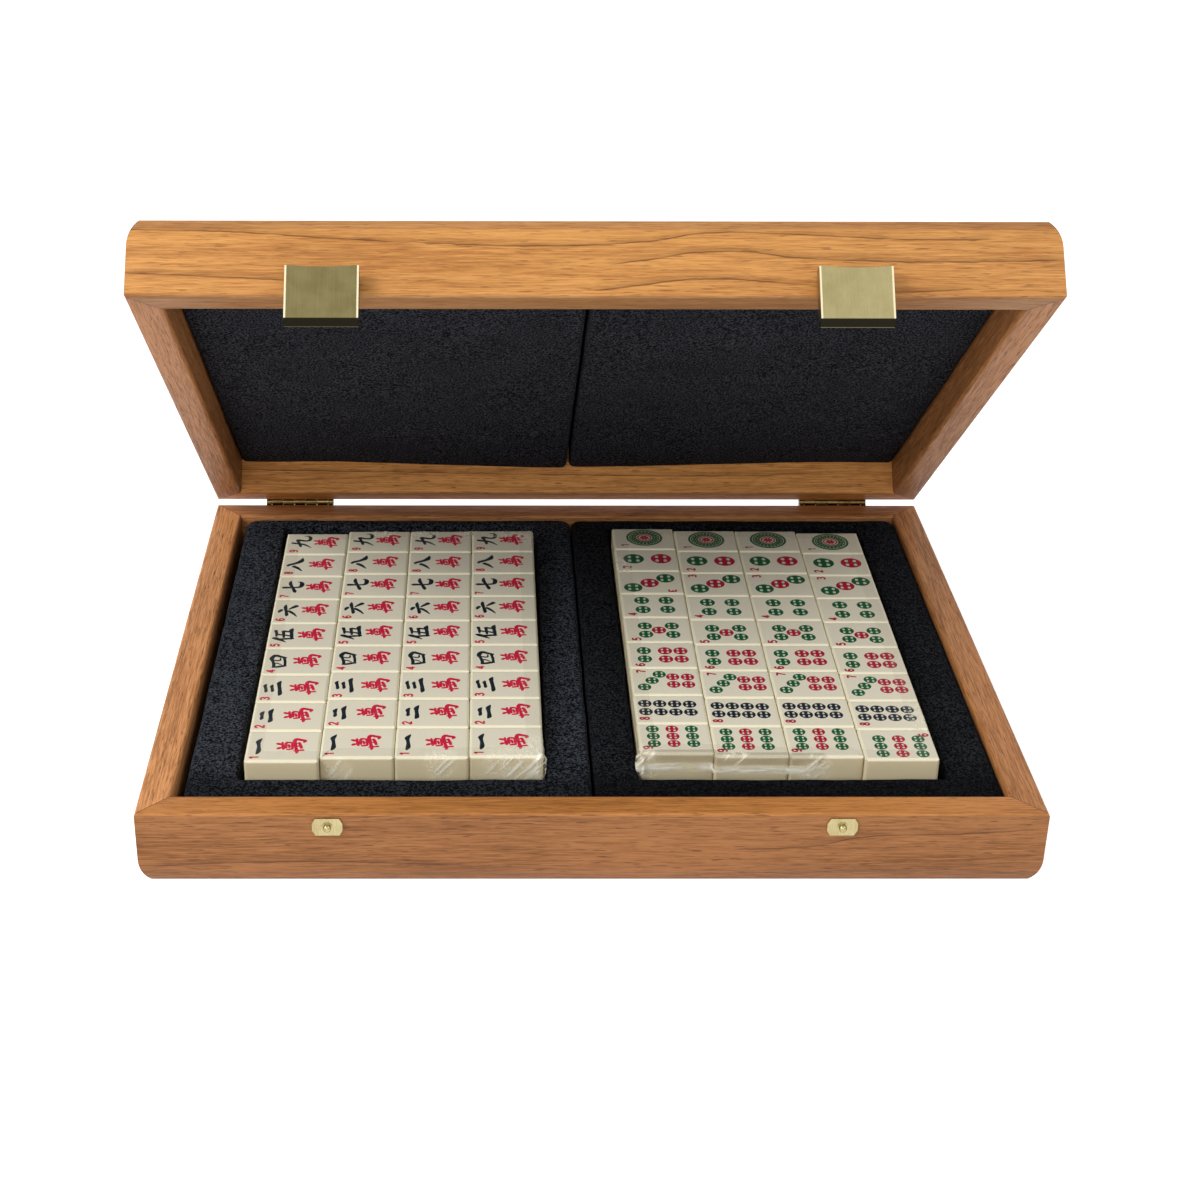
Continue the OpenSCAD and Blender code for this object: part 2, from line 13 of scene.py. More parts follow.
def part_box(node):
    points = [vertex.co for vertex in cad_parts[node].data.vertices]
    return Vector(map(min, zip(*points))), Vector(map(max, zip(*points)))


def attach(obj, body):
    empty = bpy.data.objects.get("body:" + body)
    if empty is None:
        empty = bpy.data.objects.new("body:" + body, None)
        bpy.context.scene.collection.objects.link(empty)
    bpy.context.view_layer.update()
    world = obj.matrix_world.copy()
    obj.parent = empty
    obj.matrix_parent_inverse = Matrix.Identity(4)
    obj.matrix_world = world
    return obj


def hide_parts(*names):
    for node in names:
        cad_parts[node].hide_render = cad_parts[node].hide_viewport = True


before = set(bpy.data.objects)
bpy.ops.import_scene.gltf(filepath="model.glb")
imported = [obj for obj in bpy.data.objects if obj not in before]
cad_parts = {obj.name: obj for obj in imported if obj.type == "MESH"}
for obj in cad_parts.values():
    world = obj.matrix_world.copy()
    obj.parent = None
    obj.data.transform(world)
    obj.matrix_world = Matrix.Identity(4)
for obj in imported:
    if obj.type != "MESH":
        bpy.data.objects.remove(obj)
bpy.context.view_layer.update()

MM = 0.001

# The case, as in the part's source
CASE_W, CASE_D = 360.0, 285.0
BASE_H, LID_H, RIM_GAP, PANEL_T = 33.5, 33.0, 0.4, 4.0
HINGE = (0.0, 145.4, 33.7)
LID_OPEN = math.radians(40.8)
LID_RIM_Z = BASE_H + RIM_GAP

# Foam trays and lid pads
TRAY_W, TRAY_D, TRAY_BOTTOM, TRAY_TOP = 164.75, 257.8, 4.0, 31.7
TRAY_X = {"left": -81.125, "right": 84.025}
POCKET_W, POCKET_D, POCKET_Y, POCKET_FLOOR = 126.0, 235.1, 3.6, 6.6
POCKET_X = {"left": -79.825, "right": 82.925}
PAD_W, PAD_X = 166.2, 83.3
PAD_FACE_Z, PAD_BACK_Z = LID_RIM_Z + 14.6, LID_RIM_Z + LID_H - PANEL_T

# Tile blocks, each of four columns that have slipped a little
COLUMNS, ROWS = 4, 9
PITCH_X, PITCH_Y = 30.35, 23.25
BLOCK_HALF = (COLUMNS / 2 * PITCH_X, ROWS / 2 * PITCH_Y)
BLOCK_X = {"left": -79.025, "right": 81.525}
BLOCK_Y = -6.425
SLIP = {"left": (-2.3, 0.4, 0.5, 1.1), "right": (3.6, 1.4, 1.1, -0.9)}
TILE_TOP = 39.6

# How far the clasp covers reach below the lid before their foot is bent in
COVER_DROP = 10.8

# How much wider the brush strokes are than drawn
FULLNESS = 1.36
# How far a stroke's soft end reaches past its last point and how wide it is there, in half widths
TIP_REACH, TIP_WIDTH = 0.7, 0.35

SIDES = ("left", "right")
ORIGIN = (0.0, 0.0, 0.0)


def rgb(red, green, blue):
    """A colour given as it looks on a screen, 0 to 255, turned to the shader's linear light."""
    parts = [c / 255 for c in (red, green, blue)]
    return tuple(c / 12.92 if c <= 0.04045 else ((c + 0.055) / 1.055) ** 2.4 for c in parts) + (1.0,)


# ---------------------------------------------------------------- node helpers


class Nodes:
    """Builds one node tree. Any value may be a number, a colour or another node's output."""

    def __init__(self, tree):
        self.tree = tree

    def feed(self, socket, value):
        if isinstance(value, bpy.types.NodeSocket):
            self.tree.links.new(value, socket)
        else:
            socket.default_value = value

    def give(self, node, **values):
        """Feeds a node's inputs, underscores in the names standing for spaces. Returns its outputs."""
        for name, value in values.items():
            self.feed(node.inputs[name.replace("_", " ")], value)
        return node.outputs

    def put(self, kind, inputs=None, **settings):
        """Adds one node and returns its outputs."""
        made = self.tree.nodes.new(kind)
        for key, value in settings.items():
            setattr(made, key, value)
        for key, value in (inputs or {}).items():
            self.feed(made.inputs[key], value)
        return made.outputs

    def use(self, group, **values):
        """Places a shader group."""
        made = self.tree.nodes.new("ShaderNodeGroup")
        made.node_tree = group
        return self.give(made, **values)

    def math(self, operation, a, b=0.0, c=0.0):
        return self.put("ShaderNodeMath", {0: a, 1: b, 2: c}, operation=operation)[0]

    def times(self, first, *others):
        for other in others:
            first = self.math("MULTIPLY", first, other)
        return first

    def most(self, first, *others):
        for other in others:
            first = self.math("MAXIMUM", first, other)
        return first

    def less(self, value, taken):
        return self.math("SUBTRACT", value, taken)

    def ramp(self, value, factor, start):
        """start + factor x value."""
        return self.math("MULTIPLY_ADD", value, factor, start)

    def size(self, value):
        return self.math("ABSOLUTE", value)

    def clamp(self, value):
        return self.put("ShaderNodeClamp", {"Value": value})[0]

    def axes(self, vector):
        return self.put("ShaderNodeSeparateXYZ", {"Vector": vector})

    def spread(self, value, low, high, to_low=0.0, to_high=1.0, smooth=True):
        """Maps low..high to to_low..to_high, held at both ends."""
        ends = {"From Min": low, "From Max": high, "To Min": to_low, "To Max": to_high}
        way = "SMOOTHSTEP" if smooth else "LINEAR"
        return self.put("ShaderNodeMapRange", {"Value": value, **ends}, interpolation_type=way)["Result"]

    def stretched(self, vector, scales):
        """The vector with each axis scaled, so that a noise on it is drawn out."""
        return self.put("ShaderNodeMapping", {"Vector": vector, "Scale": scales})["Vector"]

    def noise(self, vector, scale, detail=2.0, rough=0.5, distortion=0.0):
        """A noise value from 0 to 1. A scale of three numbers draws it out."""
        if isinstance(scale, tuple):
            vector, scale = self.stretched(vector, scale), 1.0
        values = {"Vector": vector, "Scale": scale, "Detail": detail, "Roughness": rough}
        return self.put("ShaderNodeTexNoise", {**values, "Distortion": distortion})["Fac"]

    def blend(self, share, first, second, way="MIX"):
        """Two colours mixed by a share."""
        inputs = {0: share, 6: first, 7: second}
        return self.put("ShaderNodeMix", inputs, data_type="RGBA", blend_type=way)[2]

    def bump(self, height, distance, strength):
        values = {"Height": height, "Distance": distance, "Strength": strength}
        return self.put("ShaderNodeBump", values)["Normal"]

    def millimetres(self, lid=False, turned=False):
        """Object coordinates in mm, the lid brought back to shut and the grain along X."""
        swing, turn = (LID_OPEN if lid else 0.0), math.radians(90 if turned else 0)
        hinge = Vector(HINGE)
        shut = Matrix.Rotation(turn, 3, "Z") @ (hinge - Matrix.Rotation(swing, 3, "X") @ hinge)
        values = {"Location": shut, "Rotation": (swing, 0.0, turn), "Scale": [1 / MM] * 3}
        coords = self.put("ShaderNodeTexCoord")["Object"]
        return self.put("ShaderNodeMapping", {"Vector": coords, **values})["Vector"]


def new_group(name, inputs, outputs):
    """An empty shader group. Returns its nodes, its given values and a call that closes it.

    inputs holds each input's default: a number, three numbers for a vector or four for a
    colour. The output named Color is a colour and any other a number.
    """
    group = bpy.data.node_groups.new(name, "ShaderNodeTree")
    for label, value in inputs.items():
        kind = {3: "Vector", 4: "Color"}[len(value)] if isinstance(value, tuple) else "Float"
        made = group.interface.new_socket(label, in_out="INPUT", socket_type="NodeSocket" + kind)
        made.default_value = value
    for label in outputs:
        kind = "Color" if label == "Color" else "Float"
        group.interface.new_socket(label, in_out="OUTPUT", socket_type="NodeSocket" + kind)
    start, end = group.nodes.new("NodeGroupInput"), group.nodes.new("NodeGroupOutput")
    nodes = Nodes(group)

    def close(**results):
        nodes.give(end, **results)
        return group

    return nodes, start.outputs, close


def new_material(name):
    """A material with one Principled shader. Returns it, its nodes and the shader."""
    material = bpy.data.materials.new(name)
    material.use_nodes = True
    return material, Nodes(material.node_tree), material.node_tree.nodes["Principled BSDF"]


# ---------------------------------------------------------------- wood


def wood_grain_group():
    """Growth lines that flow along the board, fine fibres, pores and slow drifts of colour."""
    nodes, given, close = new_group(
        "wood grain",
        {
            "Vector": ORIGIN, "Board": ORIGIN,
            "Light": rgb(200, 145, 95), "Dark": rgb(150, 98, 60), "Line": rgb(95, 55, 30),
            "Line spacing": 12.0, "Line depth": 0.7, "Slope": 0.03, "Fibre depth": 0.95,
        },
        ("Color", "Height", "Roughness"),
    )
    here = nodes.put("ShaderNodeVectorMath", {0: given["Vector"], 1: given["Board"]})[0]
    x, y, z = nodes.axes(here)
    # Growth lines: the ring number rises across the board and is bent by long slow waves
    waves = nodes.noise(here, (0.0055, 0.012, 0.012), 1.5, 0.4)
    ripples = nodes.noise(here, (0.022, 0.08, 0.08))
    across = nodes.math("ADD", z, nodes.times(y, 0.62))
    across = nodes.ramp(x, given["Slope"], across)
    across = nodes.ramp(waves, 46.0, across)
    across = nodes.ramp(ripples, 3.2, across)
    ring = nodes.math("DIVIDE", across, given["Line spacing"])
    part, number = nodes.math("FRACT", ring), nodes.math("FLOOR", ring)
    luck = nodes.put("ShaderNodeTexWhiteNoise", {"W": number}, noise_dimensions="1D")["Value"]
    rise = nodes.math("POWER", nodes.spread(part, 0.35, 0.965, smooth=False), 5.0)
    fall = nodes.spread(part, 0.972, 0.995, 1.0, 0.0)
    strong = nodes.spread(luck, 0.1, 0.95, 0.12, 1.0, smooth=False)
    broken = nodes.spread(nodes.noise(here, (0.03, 0.5, 0.5)), 0.3, 0.6, 0.45, 1.0)
    late = nodes.times(rise, fall, strong)
    late = nodes.times(nodes.times(late, broken), given["Line depth"])
    # Fibres and pores drawn out along the board
    coarse = nodes.noise(here, (0.012, 0.35, 0.35), 3.0, 0.55, 0.2)
    fine = nodes.noise(here, (0.07, 1.5, 1.5), 3.0, 0.7)
    drift = nodes.noise(here, (0.006, 0.05, 0.05))
    pores = nodes.spread(nodes.noise(here, (0.13, 1.9, 1.9), 1.0), 0.62, 0.72)
    fibre = nodes.times(nodes.less(fine, 0.5), given["Fibre depth"])
    tone = nodes.ramp(nodes.less(coarse, 0.5), 1.1, 0.42)
    tone = nodes.ramp(nodes.less(drift, 0.5), 1.3, tone)
    tone = nodes.clamp(nodes.ramp(fibre, 4.0, tone))
    colour = nodes.blend(tone, given["Light"], given["Dark"])
    colour = nodes.blend(late, colour, given["Line"])
    speck = nodes.times(pores, nodes.times(given["Fibre depth"], 0.75))
    colour = nodes.blend(speck, colour, given["Line"])
    rough = nodes.spread(fine, 0.3, 0.7, 0.40, 0.56)
    return close(Color=colour, Height=nodes.less(fine, pores), Roughness=rough)


def mitre_group():
    """A thin dark line where the mitred ends of two walls meet, as a mask."""
    nodes, given, close = new_group(
        "mitre joint", {"Vector": ORIGIN, "Half length": 180.0, "Half reach": 143.5}, ("Mask",)
    )
    x, y, _ = nodes.axes(given["Vector"])
    from_end = nodes.less(given["Half length"], nodes.size(x))
    from_face = nodes.less(given["Half reach"], nodes.size(y))
    line = nodes.spread(nodes.size(nodes.less(from_end, from_face)), 0.1, 0.42, 1.0, 0.0)
    return close(Mask=nodes.times(line, nodes.spread(from_face, 0.5, 1.4)))


GRAIN = wood_grain_group()
MITRE = mitre_group()

# The piece of board, long and high, that the curve of a drawn line spans
COURSE_LONG, COURSE_HIGH = 400, 80


def drawn_line(nodes, where, course):
    """A growth line through points (along, up) of a board, as a mask, softer above than below."""
    x, _, z = nodes.axes(where)
    curve = nodes.tree.nodes.new("ShaderNodeFloatCurve")
    points = curve.mapping.curves[0].points
    scaled = [(along / COURSE_LONG + 0.5, up / COURSE_HIGH) for along, up in course]
    points[0].location, points[1].location = scaled[0], scaled[-1]
    for between in scaled[1:-1]:
        points.new(*between)
    curve.mapping.update()
    height = nodes.give(curve, Value=nodes.ramp(x, 1 / COURSE_LONG, 0.5))["Value"]
    wander = nodes.noise(where, (0.12, 0.12, 0.0))
    above = nodes.less(z, nodes.ramp(height, COURSE_HIGH, nodes.less(wander, 0.5)))
    thin = nodes.spread(nodes.size(above), 0.12, 0.45, 1.0, 0.0)
    soft = nodes.times(nodes.spread(above, -0.6, 0.0), nodes.spread(above, 0.0, 3.2, 0.38, 0.0))
    dimming = nodes.spread(nodes.noise(where, (0.06, 0.4, 0.4)), 0.3, 0.6, 0.5, 1.0)
    first, last = course[0][0], course[-1][0]
    begun = nodes.spread(x, first - 6, first + 2)
    unended = nodes.spread(x, last - 2, last + 6, 1.0, 0.0)
    mask = nodes.times(nodes.most(thin, soft), dimming)
    return nodes.times(mask, nodes.times(begun, unended))


def wood_finish(piece, start, light, dark, line, drawn=(), tones=(), **grain):
    """Oiled wood for one wall or panel, its grain along the board, a wall's ends mitred.

    start is where in the grain the board begins. drawn holds the courses of its growth lines,
    and tones the heights (from, to) that a tint multiplies: painted shade, and on the base's rim a warmer
    tint.
    """
    lid, turned = piece.startswith("lid"), piece.endswith(("left_wall", "right_wall"))
    material, nodes, shader = new_material("wood_" + piece)
    where = nodes.millimetres(lid, turned)
    wood = nodes.use(GRAIN, Vector=where, Board=start, Light=light, Dark=dark, Line=line, **grain)
    colour = wood["Color"]
    height = nodes.axes(where)["Z"]
    # Painted shade: each band of heights is darkened by its tint, except the base's rim, which is only
    # tinted warmer
    for low, high, tint in tones:
        over = nodes.spread(height, low - 0.5, low + 0.5)
        under = nodes.spread(height, high - 0.5, high + 0.5, 1.0, 0.0)
        colour = nodes.blend(nodes.math("MINIMUM", over, under), colour, (*tint, 1.0), "MULTIPLY")
    for course in drawn:
        mask = nodes.times(drawn_line(nodes, where, course), 0.85)
        colour = nodes.blend(mask, colour, line)
    if piece.endswith("wall"):
        long, deep = (CASE_D / 2, CASE_W / 2) if turned else (CASE_W / 2, CASE_D / 2)
        joint = nodes.use(MITRE, Vector=where, Half_length=long, Half_reach=deep)
        colour = nodes.blend(nodes.times(joint["Mask"], 0.75), colour, rgb(60, 32, 18))
    fibres = nodes.bump(wood["Height"], 0.00008, 0.6)
    nodes.give(shader, Base_Color=colour, Roughness=wood["Roughness"], Normal=fibres)
    nodes.give(shader, Specular_IOR_Level=0.25)
    return material


def dress(material, *names):
    """Gives carried-over nodes a material."""
    for name in names:
        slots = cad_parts[name].data.materials
        slots.clear()
        slots.append(material)


# Courses of the growth lines that stand out in the photograph: along the board and up, lid shut
LID_FRONT_LINES = (
    ((-179, 62), (-140, 61), (-100, 58), (-60, 56), (-20, 55), (20, 57), (46, 61), (80, 60),
     (120, 58), (150, 58)),
    ((10, 48), (24, 50), (38, 52.3), (58, 52.7), (76, 50.4), (100, 49.3), (124, 48.6),
     (150, 48.8), (178, 49.5)),
    ((2, 37), (14, 38.5), (32, 41), (48, 41.6), (64, 40.6), (84, 38.8), (110, 36.5), (140, 37.4)),
    ((-178, 43.6), (-150, 42.4), (-125, 41.2), (-90, 38.6)),
)
LID_BACK_LINES = (((-170, 46), (-90, 45), (0, 43.5), (80, 43), (120, 44)),)
BASE_FRONT_LINES = (
    ((60, 17), (84, 18), (110, 23), (140, 24), (172, 26)), ((-170, 9), (-120, 11), (-60, 9.5)),
)
# Heights of the boards' faces and rims that a tint multiplies: from, to and the tint. The lid front's
# lower rim and top edge and the base front's face below its rim are darkened as painted shade; the base's
# rim is tinted warmer
LID_FRONT_SHADE = (
    (0.0, LID_RIM_Z + 0.9, (0.72, 0.74, 0.95)), (62.5, 99.0, (0.8, 0.8, 0.92)),
)
BASE_FRONT_SHADE_AND_TINT = (
    (-9.0, BASE_H - 0.7, (0.80, 0.78, 0.76)), (BASE_H - 0.7, 99.0, (1.02, 0.97, 0.74)),
)


def dress_wood():
    """Each wall is its own board: the base is browner, the lid's front is golden."""
    brown = (rgb(186, 126, 76), rgb(140, 90, 49), rgb(84, 48, 24))
    gold = (rgb(204, 146, 80), rgb(158, 101, 48), rgb(88, 50, 22))
    tan = (rgb(232, 162, 90), rgb(186, 122, 62), rgb(112, 64, 32))
    pale = (rgb(214, 149, 94), rgb(162, 106, 60), rgb(92, 54, 28))
    base_front = {"Slope": 0.02, "Fibre_depth": 0.8, "drawn": BASE_FRONT_LINES, "tones": BASE_FRONT_SHADE_AND_TINT}
    lid_front = {"Slope": -0.03, "Fibre_depth": 0.6, "drawn": LID_FRONT_LINES, "tones": LID_FRONT_SHADE}
    boards = (
        ("base_front_wall", (0, 0, 0), brown, 15.0, 0.35, base_front),
        ("base_back_wall", (700, 90, 40), brown, 13.0, 0.5, {"Slope": -0.01}),
        ("base_left_wall", (1500, 20, 10), pale, 10.0, 0.5, {}),
        ("base_right_wall", (2300, 60, 25), brown, 9.0, 0.6, {}),
        ("base_floor_panel", (3100, 0, 0), brown, 20.0, 0.5, {}),
        ("lid_front_wall", (3900, 30, 60), gold, 11.5, 0.3, lid_front),
        ("lid_back_wall", (4700, 10, 5), tan, 8.0, 0.4, {"Slope": 0.01, "drawn": LID_BACK_LINES}),
        ("lid_left_wall", (5500, 10, 5), brown, 10.0, 0.7, {}),
        ("lid_right_wall", (6300, 10, 5), brown, 9.0, 0.8, {}),
        ("lid_top_panel", (7100, 10, 5), gold, 22.0, 0.8, {}),
    )
    for piece, start, colours, spacing, depth, more in boards:
        wood = wood_finish(piece, start, *colours, Line_spacing=spacing, Line_depth=depth, **more)
        dress(wood, piece)


# ---------------------------------------------------------------- meshes


def opened(point):
    """A point of the shut lid, turned open about the hinge."""
    y, z = point[1] - HINGE[1], point[2] - HINGE[2]
    c, s = math.cos(LID_OPEN), math.sin(LID_OPEN)
    return point[0], HINGE[1] + c * y + s * z, HINGE[2] - s * y + c * z


def add_object(name, data):
    made = bpy.data.objects.new(name, data)
    bpy.context.scene.collection.objects.link(made)
    return made


def add_piece(name, points, faces, body, slot, *materials, smooth=False):
    """A piece from points in millimetres, riding on a body of the part."""
    mesh = bpy.data.meshes.new(name)
    mesh.from_pydata([tuple(MM * c for c in p) for p in points], [], faces)
    for material in materials:
        mesh.materials.append(material)
    if smooth:
        mesh.shade_smooth()
    piece = add_object(name, mesh)
    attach(piece, body)
    return piece


def mix(a, b, share):
    return a + (b - a) * share


def eased(low, high, value):
    """0 below low, 1 above high, and a smooth rise between."""
    share = min(max((value - low) / (high - low), 0.0), 1.0)
    return share * share * (3 - 2 * share)


# ---------------------------------------------------------------- foam trays and pads


def foam_group():
    """Short dark fibres pressed flat: a fine pale and dark speckle with slow drifts."""
    nodes, given, close = new_group(
        "foam speckle",
        {"Vector": ORIGIN, "Dark": rgb(14, 15, 17), "Pale": rgb(62, 64, 70), "Grain": 1.15},
        ("Color", "Height"),
    )
    where = given["Vector"]
    fine = nodes.noise(where, given["Grain"], 1.0, 0.6)
    clots = nodes.spread(nodes.noise(where, 0.35, 2.0, 0.6), 0.25, 0.75, 0.75, 1.2, smooth=False)
    drift = nodes.spread(nodes.noise(where, 0.05, 3.0, 0.6), 0.3, 0.7, 0.85, 1.15, smooth=False)
    share = nodes.times(nodes.spread(fine, 0.42, 0.62, smooth=False), clots, drift)
    return close(Color=nodes.blend(share, given["Dark"], given["Pale"]), Height=fine)


FOAM = foam_group()
# The strip along the front, in Y, over which the base's foam turns from painted shade to its own colour
FRONT_SHADE_STRIP = (-122, -100)


def foam_finish(name, dark, pale, lid=False):
    """Matt dark foam. In the base it is darkened along the front with painted shade."""
    material, nodes, shader = new_material(name)
    where = nodes.millimetres(lid)
    foam = nodes.use(FOAM, Vector=where, Dark=dark, Pale=pale)
    colour = foam["Color"]
    if not lid:
        # Painted shade: the base's foam darkens towards the front
        dimming = nodes.spread(nodes.axes(where)["Y"], *FRONT_SHADE_STRIP, 0.6, 0.0)
        colour = nodes.blend(dimming, colour, (0, 0, 0, 1))
    nodes.give(shader, Base_Color=colour, Normal=nodes.bump(foam["Height"], 0.00025, 0.8))
    nodes.give(shader, Roughness=0.95, Specular_IOR_Level=0.04)
    return material


def rounded_loop(centre, half, corner, z, along=(44, 66), turn=7):
    """Points round a rectangle with rounded corners. Their number stays the same whatever its size."""
    corners = ((1, -1, -90), (1, 1, 0), (-1, 1, 90), (-1, -1, 180))
    arcs = []
    for side_x, side_y, start in corners:
        arc = []
        for k in range(turn + 1):
            angle = math.radians(start + 90 * k / turn)
            x = centre[0] + side_x * (half[0] - corner) + corner * math.cos(angle)
            y = centre[1] + side_y * (half[1] - corner) + corner * math.sin(angle)
            arc.append((x, y, z))
        arcs.append(arc)
    loop = []
    for k, arc in enumerate(arcs):
        loop += arc
        count = along[1] if k % 2 == 0 else along[0]
        first, last = arc[-1], arcs[(k + 1) % 4][0]
        for step in range(1, count + 1):
            share = step / (count + 1)
            loop.append(tuple(mix(a, b, share) for a, b in zip(first, last)))
    return loop


def loft(loops):
    """Points and faces of a closed body whose skin runs through the loops, capped at both ends."""
    count = len(loops[0])
    faces = [tuple(reversed(range(count)))]
    for k in range(len(loops) - 1):
        for i in range(count):
            j = (i + 1) % count
            faces.append((k * count + i, k * count + j, (k + 1) * count + j, (k + 1) * count + i))
    last = (len(loops) - 1) * count
    faces.append(tuple(range(last, last + count)))
    return [p for loop in loops for p in loop], faces


# Where the unevenness along each axis reads the noise, so that the three don't move together
LUMP_SHIFTS = tuple(Vector(shift) for shift in ((9.3, -1.5, -8.0), (0.0, 0.0, 0.0), (6.3, 0.2, -2.7)))


def lump(point, wave, reach):
    """A small soft unevenness. noise_vector isn't used, because it differs from run to run."""
    here = Vector(point) / wave
    return tuple(c + reach * noise.noise(here + shift) for c, shift in zip(point, LUMP_SHIFTS))


def foam_tray(side):
    """A thick foam tray with soft edges, a pocket and a floor. It leans a little off the seam."""
    outside, inside = (TRAY_X[side], 0.0), (POCKET_X[side], POCKET_Y)
    half = (TRAY_W / 2 - 0.45, TRAY_D / 2 - 0.45)
    pocket_half = (POCKET_W / 2, POCKET_D / 2)
    edge, lip, corner, foot = 2.3, 1.4, 5.5, TRAY_BOTTOM + 1.4

    def around(inset, z):
        return rounded_loop(outside, (half[0] - inset, half[1] - inset), corner - inset, z)

    def within(out, z, pocket_corner=2.0):
        """A loop round the pocket, moved outward."""
        return rounded_loop(inside, (pocket_half[0] + out, pocket_half[1] + out), pocket_corner, z)

    loops = [rounded_loop(outside, (half[0] - 1.5, half[1] - 1.5), 4.5, TRAY_BOTTOM + 0.2)]
    loops += [around(0, mix(foot, TRAY_TOP - edge, share)) for share in (0, 0.3, 0.6, 0.9)]
    for angle in (math.radians(a) for a in (0, 18, 36, 54, 72, 90)):
        loops.append(around(edge * (1 - math.cos(angle)), TRAY_TOP - edge * (1 - math.sin(angle))))
    outer, inner = loops[-1], within(lip, TRAY_TOP, 3.0)
    for share in (0.12, 0.3, 0.5, 0.7, 0.88, 1.0):
        loops.append([tuple(mix(a, b, share) for a, b in zip(p, q)) for p, q in zip(outer, inner)])
    for angle in (math.radians(a) for a in (22, 45, 68, 90)):
        out = lip * (1 - math.sin(angle))
        loops.append(within(out, TRAY_TOP - lip * (1 - math.cos(angle)), 2.0 + out))
    for share in (0.15, 0.4, 0.7, 0.95, 1.0):
        loops.append(within(0, mix(TRAY_TOP - lip, POCKET_FLOOR, share)))
    loops += [within(-inset, POCKET_FLOOR, 1.5) for inset in (1.0, 12.0, 40.0, 60.0)]
    points, faces = loft(loops)
    toward = 1 if side == "left" else -1
    seam = outside[0] + toward * TRAY_W / 2
    lip_x = inside[0] + toward * (pocket_half[0] + lip)
    shaped = []
    for x, y, z in points:
        back = (y + TRAY_D / 2) / TRAY_D
        weight = eased(0.0, 1.0, (x - lip_x) / (seam - lip_x))
        x -= toward * weight * mix(-0.1, -0.3, back)
        x, y, z = lump((x, y, z), 26.0, 0.35)
        shaped.append(lump((x, y, z), 7.0, 0.12))
    return shaped, faces


def add_foam_tray(side, dark, pale):
    points, faces = foam_tray(side)
    finish = foam_finish(f"foam_{side}_tray", dark, pale)
    piece = add_piece(f"{side}_tray_foam", points, faces, "base", "foam", finish, smooth=True)
    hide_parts(f"{side}_foam_tray")


def soft_box(low, high, radius, counts):
    """A closed box with rounded edges, its faces in even squares with narrower ones at the edges."""
    lines = []
    for k in range(3):
        inside = [mix(low[k] + radius, high[k] - radius, i / counts[k]) for i in range(counts[k] + 1)]
        ends = [radius * (1 - math.tan(math.radians(45 - a))) for a in (0, 15, 30)]
        lines.append([low[k] + e for e in ends] + inside + [high[k] - e for e in reversed(ends)])
    points, number, faces = [], {}, []

    def corner(index):
        if index not in number:
            raw = Vector([lines[k][index[k]] for k in range(3)])
            core = Vector([min(max(raw[k], low[k] + radius), high[k] - radius) for k in range(3)])
            number[index] = len(points)
            points.append(tuple(core + (raw - core).normalized() * radius))
        return number[index]

    for axis in range(3):
        one, two = (axis + 1) % 3, (axis + 2) % 3
        for end in (0, len(lines[axis]) - 1):
            for i in range(len(lines[one]) - 1):
                for j in range(len(lines[two]) - 1):
                    ring = []
                    for di, dj in ((0, 0), (1, 0), (1, 1), (0, 1)):
                        index = [0, 0, 0]
                        index[axis], index[one], index[two] = end, i + di, j + dj
                        ring.append(corner(tuple(index)))
                    faces.append(tuple(ring if end else reversed(ring)))
    return points, faces


def lid_pad(side):
    """A foam pad of the lid. At the back it stands off the panel by the seam, and sinks beside that."""
    middle, toward = (-PAD_X, 1) if side == "left" else (PAD_X, -1)
    low = (middle - PAD_W / 2 + 0.3, -TRAY_D / 2 + 0.3, PAD_FACE_Z)
    high = (middle + PAD_W / 2 - 0.3, TRAY_D / 2 - 0.3, PAD_BACK_Z - 0.1)
    lift, sag, seam_gap = (2.0 if side == "left" else 1.5), 1.1, 0.1
    points, faces = soft_box(low, high, 2.6, (30, 46, 2))
    shaped = []
    for x, y, z in points:
        face = (PAD_BACK_Z - z) / (PAD_BACK_Z - PAD_FACE_Z)
        from_seam, from_back = abs(x), high[1] - y
        curl = (1 - eased(0.0, 95.0, from_seam)) * (1 - eased(0.0, 70.0, from_back))
        sink = (1 - eased(0.0, 55.0, from_back)) * eased(60.0, 130.0, from_seam)
        z -= face * (lift * curl - sag * sink)
        x -= toward * seam_gap * (1 - eased(0.0, 12.0, from_seam))
        x, y, z = lump((x, y, z), 31.0, 0.3 * face)
        shaped.append(opened(lump((x, y, z), 8.0, 0.1 * face)))
    return shaped, faces


def add_lid_pad(side, dark, pale):
    points, faces = lid_pad(side)
    finish = foam_finish(f"foam_{side}_pad", dark, pale, lid=True)
    piece = add_piece(f"{side}_pad_foam", points, faces, "lid", "foam", finish, smooth=True)
    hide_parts(f"{side}_lid_pad")


# ---------------------------------------------------------------- tiles and their marks


def ivory_group():
    """Cast ivory-coloured resin with faint clouds, a painted highlight on rounded edges and painted
    shade, darker and yellower, on the sides.
    """
    nodes, given, close = new_group(
        "ivory",
        {
            "Vector": ORIGIN, "Normal": ORIGIN,
            "Face": rgb(219, 212, 191), "Cloud and highlight": rgb(226, 219, 192), "Side": rgb(214, 200, 165),
        },
        ("Color", "Roughness", "Height"),
    )
    sizes = [nodes.size(axis) for axis in nodes.axes(given["Normal"])]
    # Painted highlight: rounded edges, where the normal leans off every axis, take the highlight colour,
    # which the clouds also use
    edge = nodes.spread(nodes.most(*sizes), 0.97, 0.999, 1.0, 0.0)
    clouds = nodes.noise(given["Vector"], 0.07, 3.0)
    share = nodes.most(edge, nodes.spread(clouds, 0.45, 0.75, 0.0, 0.35))
    colour = nodes.blend(share, given["Face"], given["Cloud and highlight"])
    # Painted shade: faces turned away from up take the darker, yellower side colour
    colour = nodes.blend(nodes.spread(sizes[2], 0.1, 0.5, 1.0, 0.0), colour, given["Side"])
    rough = nodes.spread(nodes.noise(given["Vector"], 0.9), 0.3, 0.7, 0.3, 0.42)
    return close(Color=colour, Roughness=rough, Height=clouds)


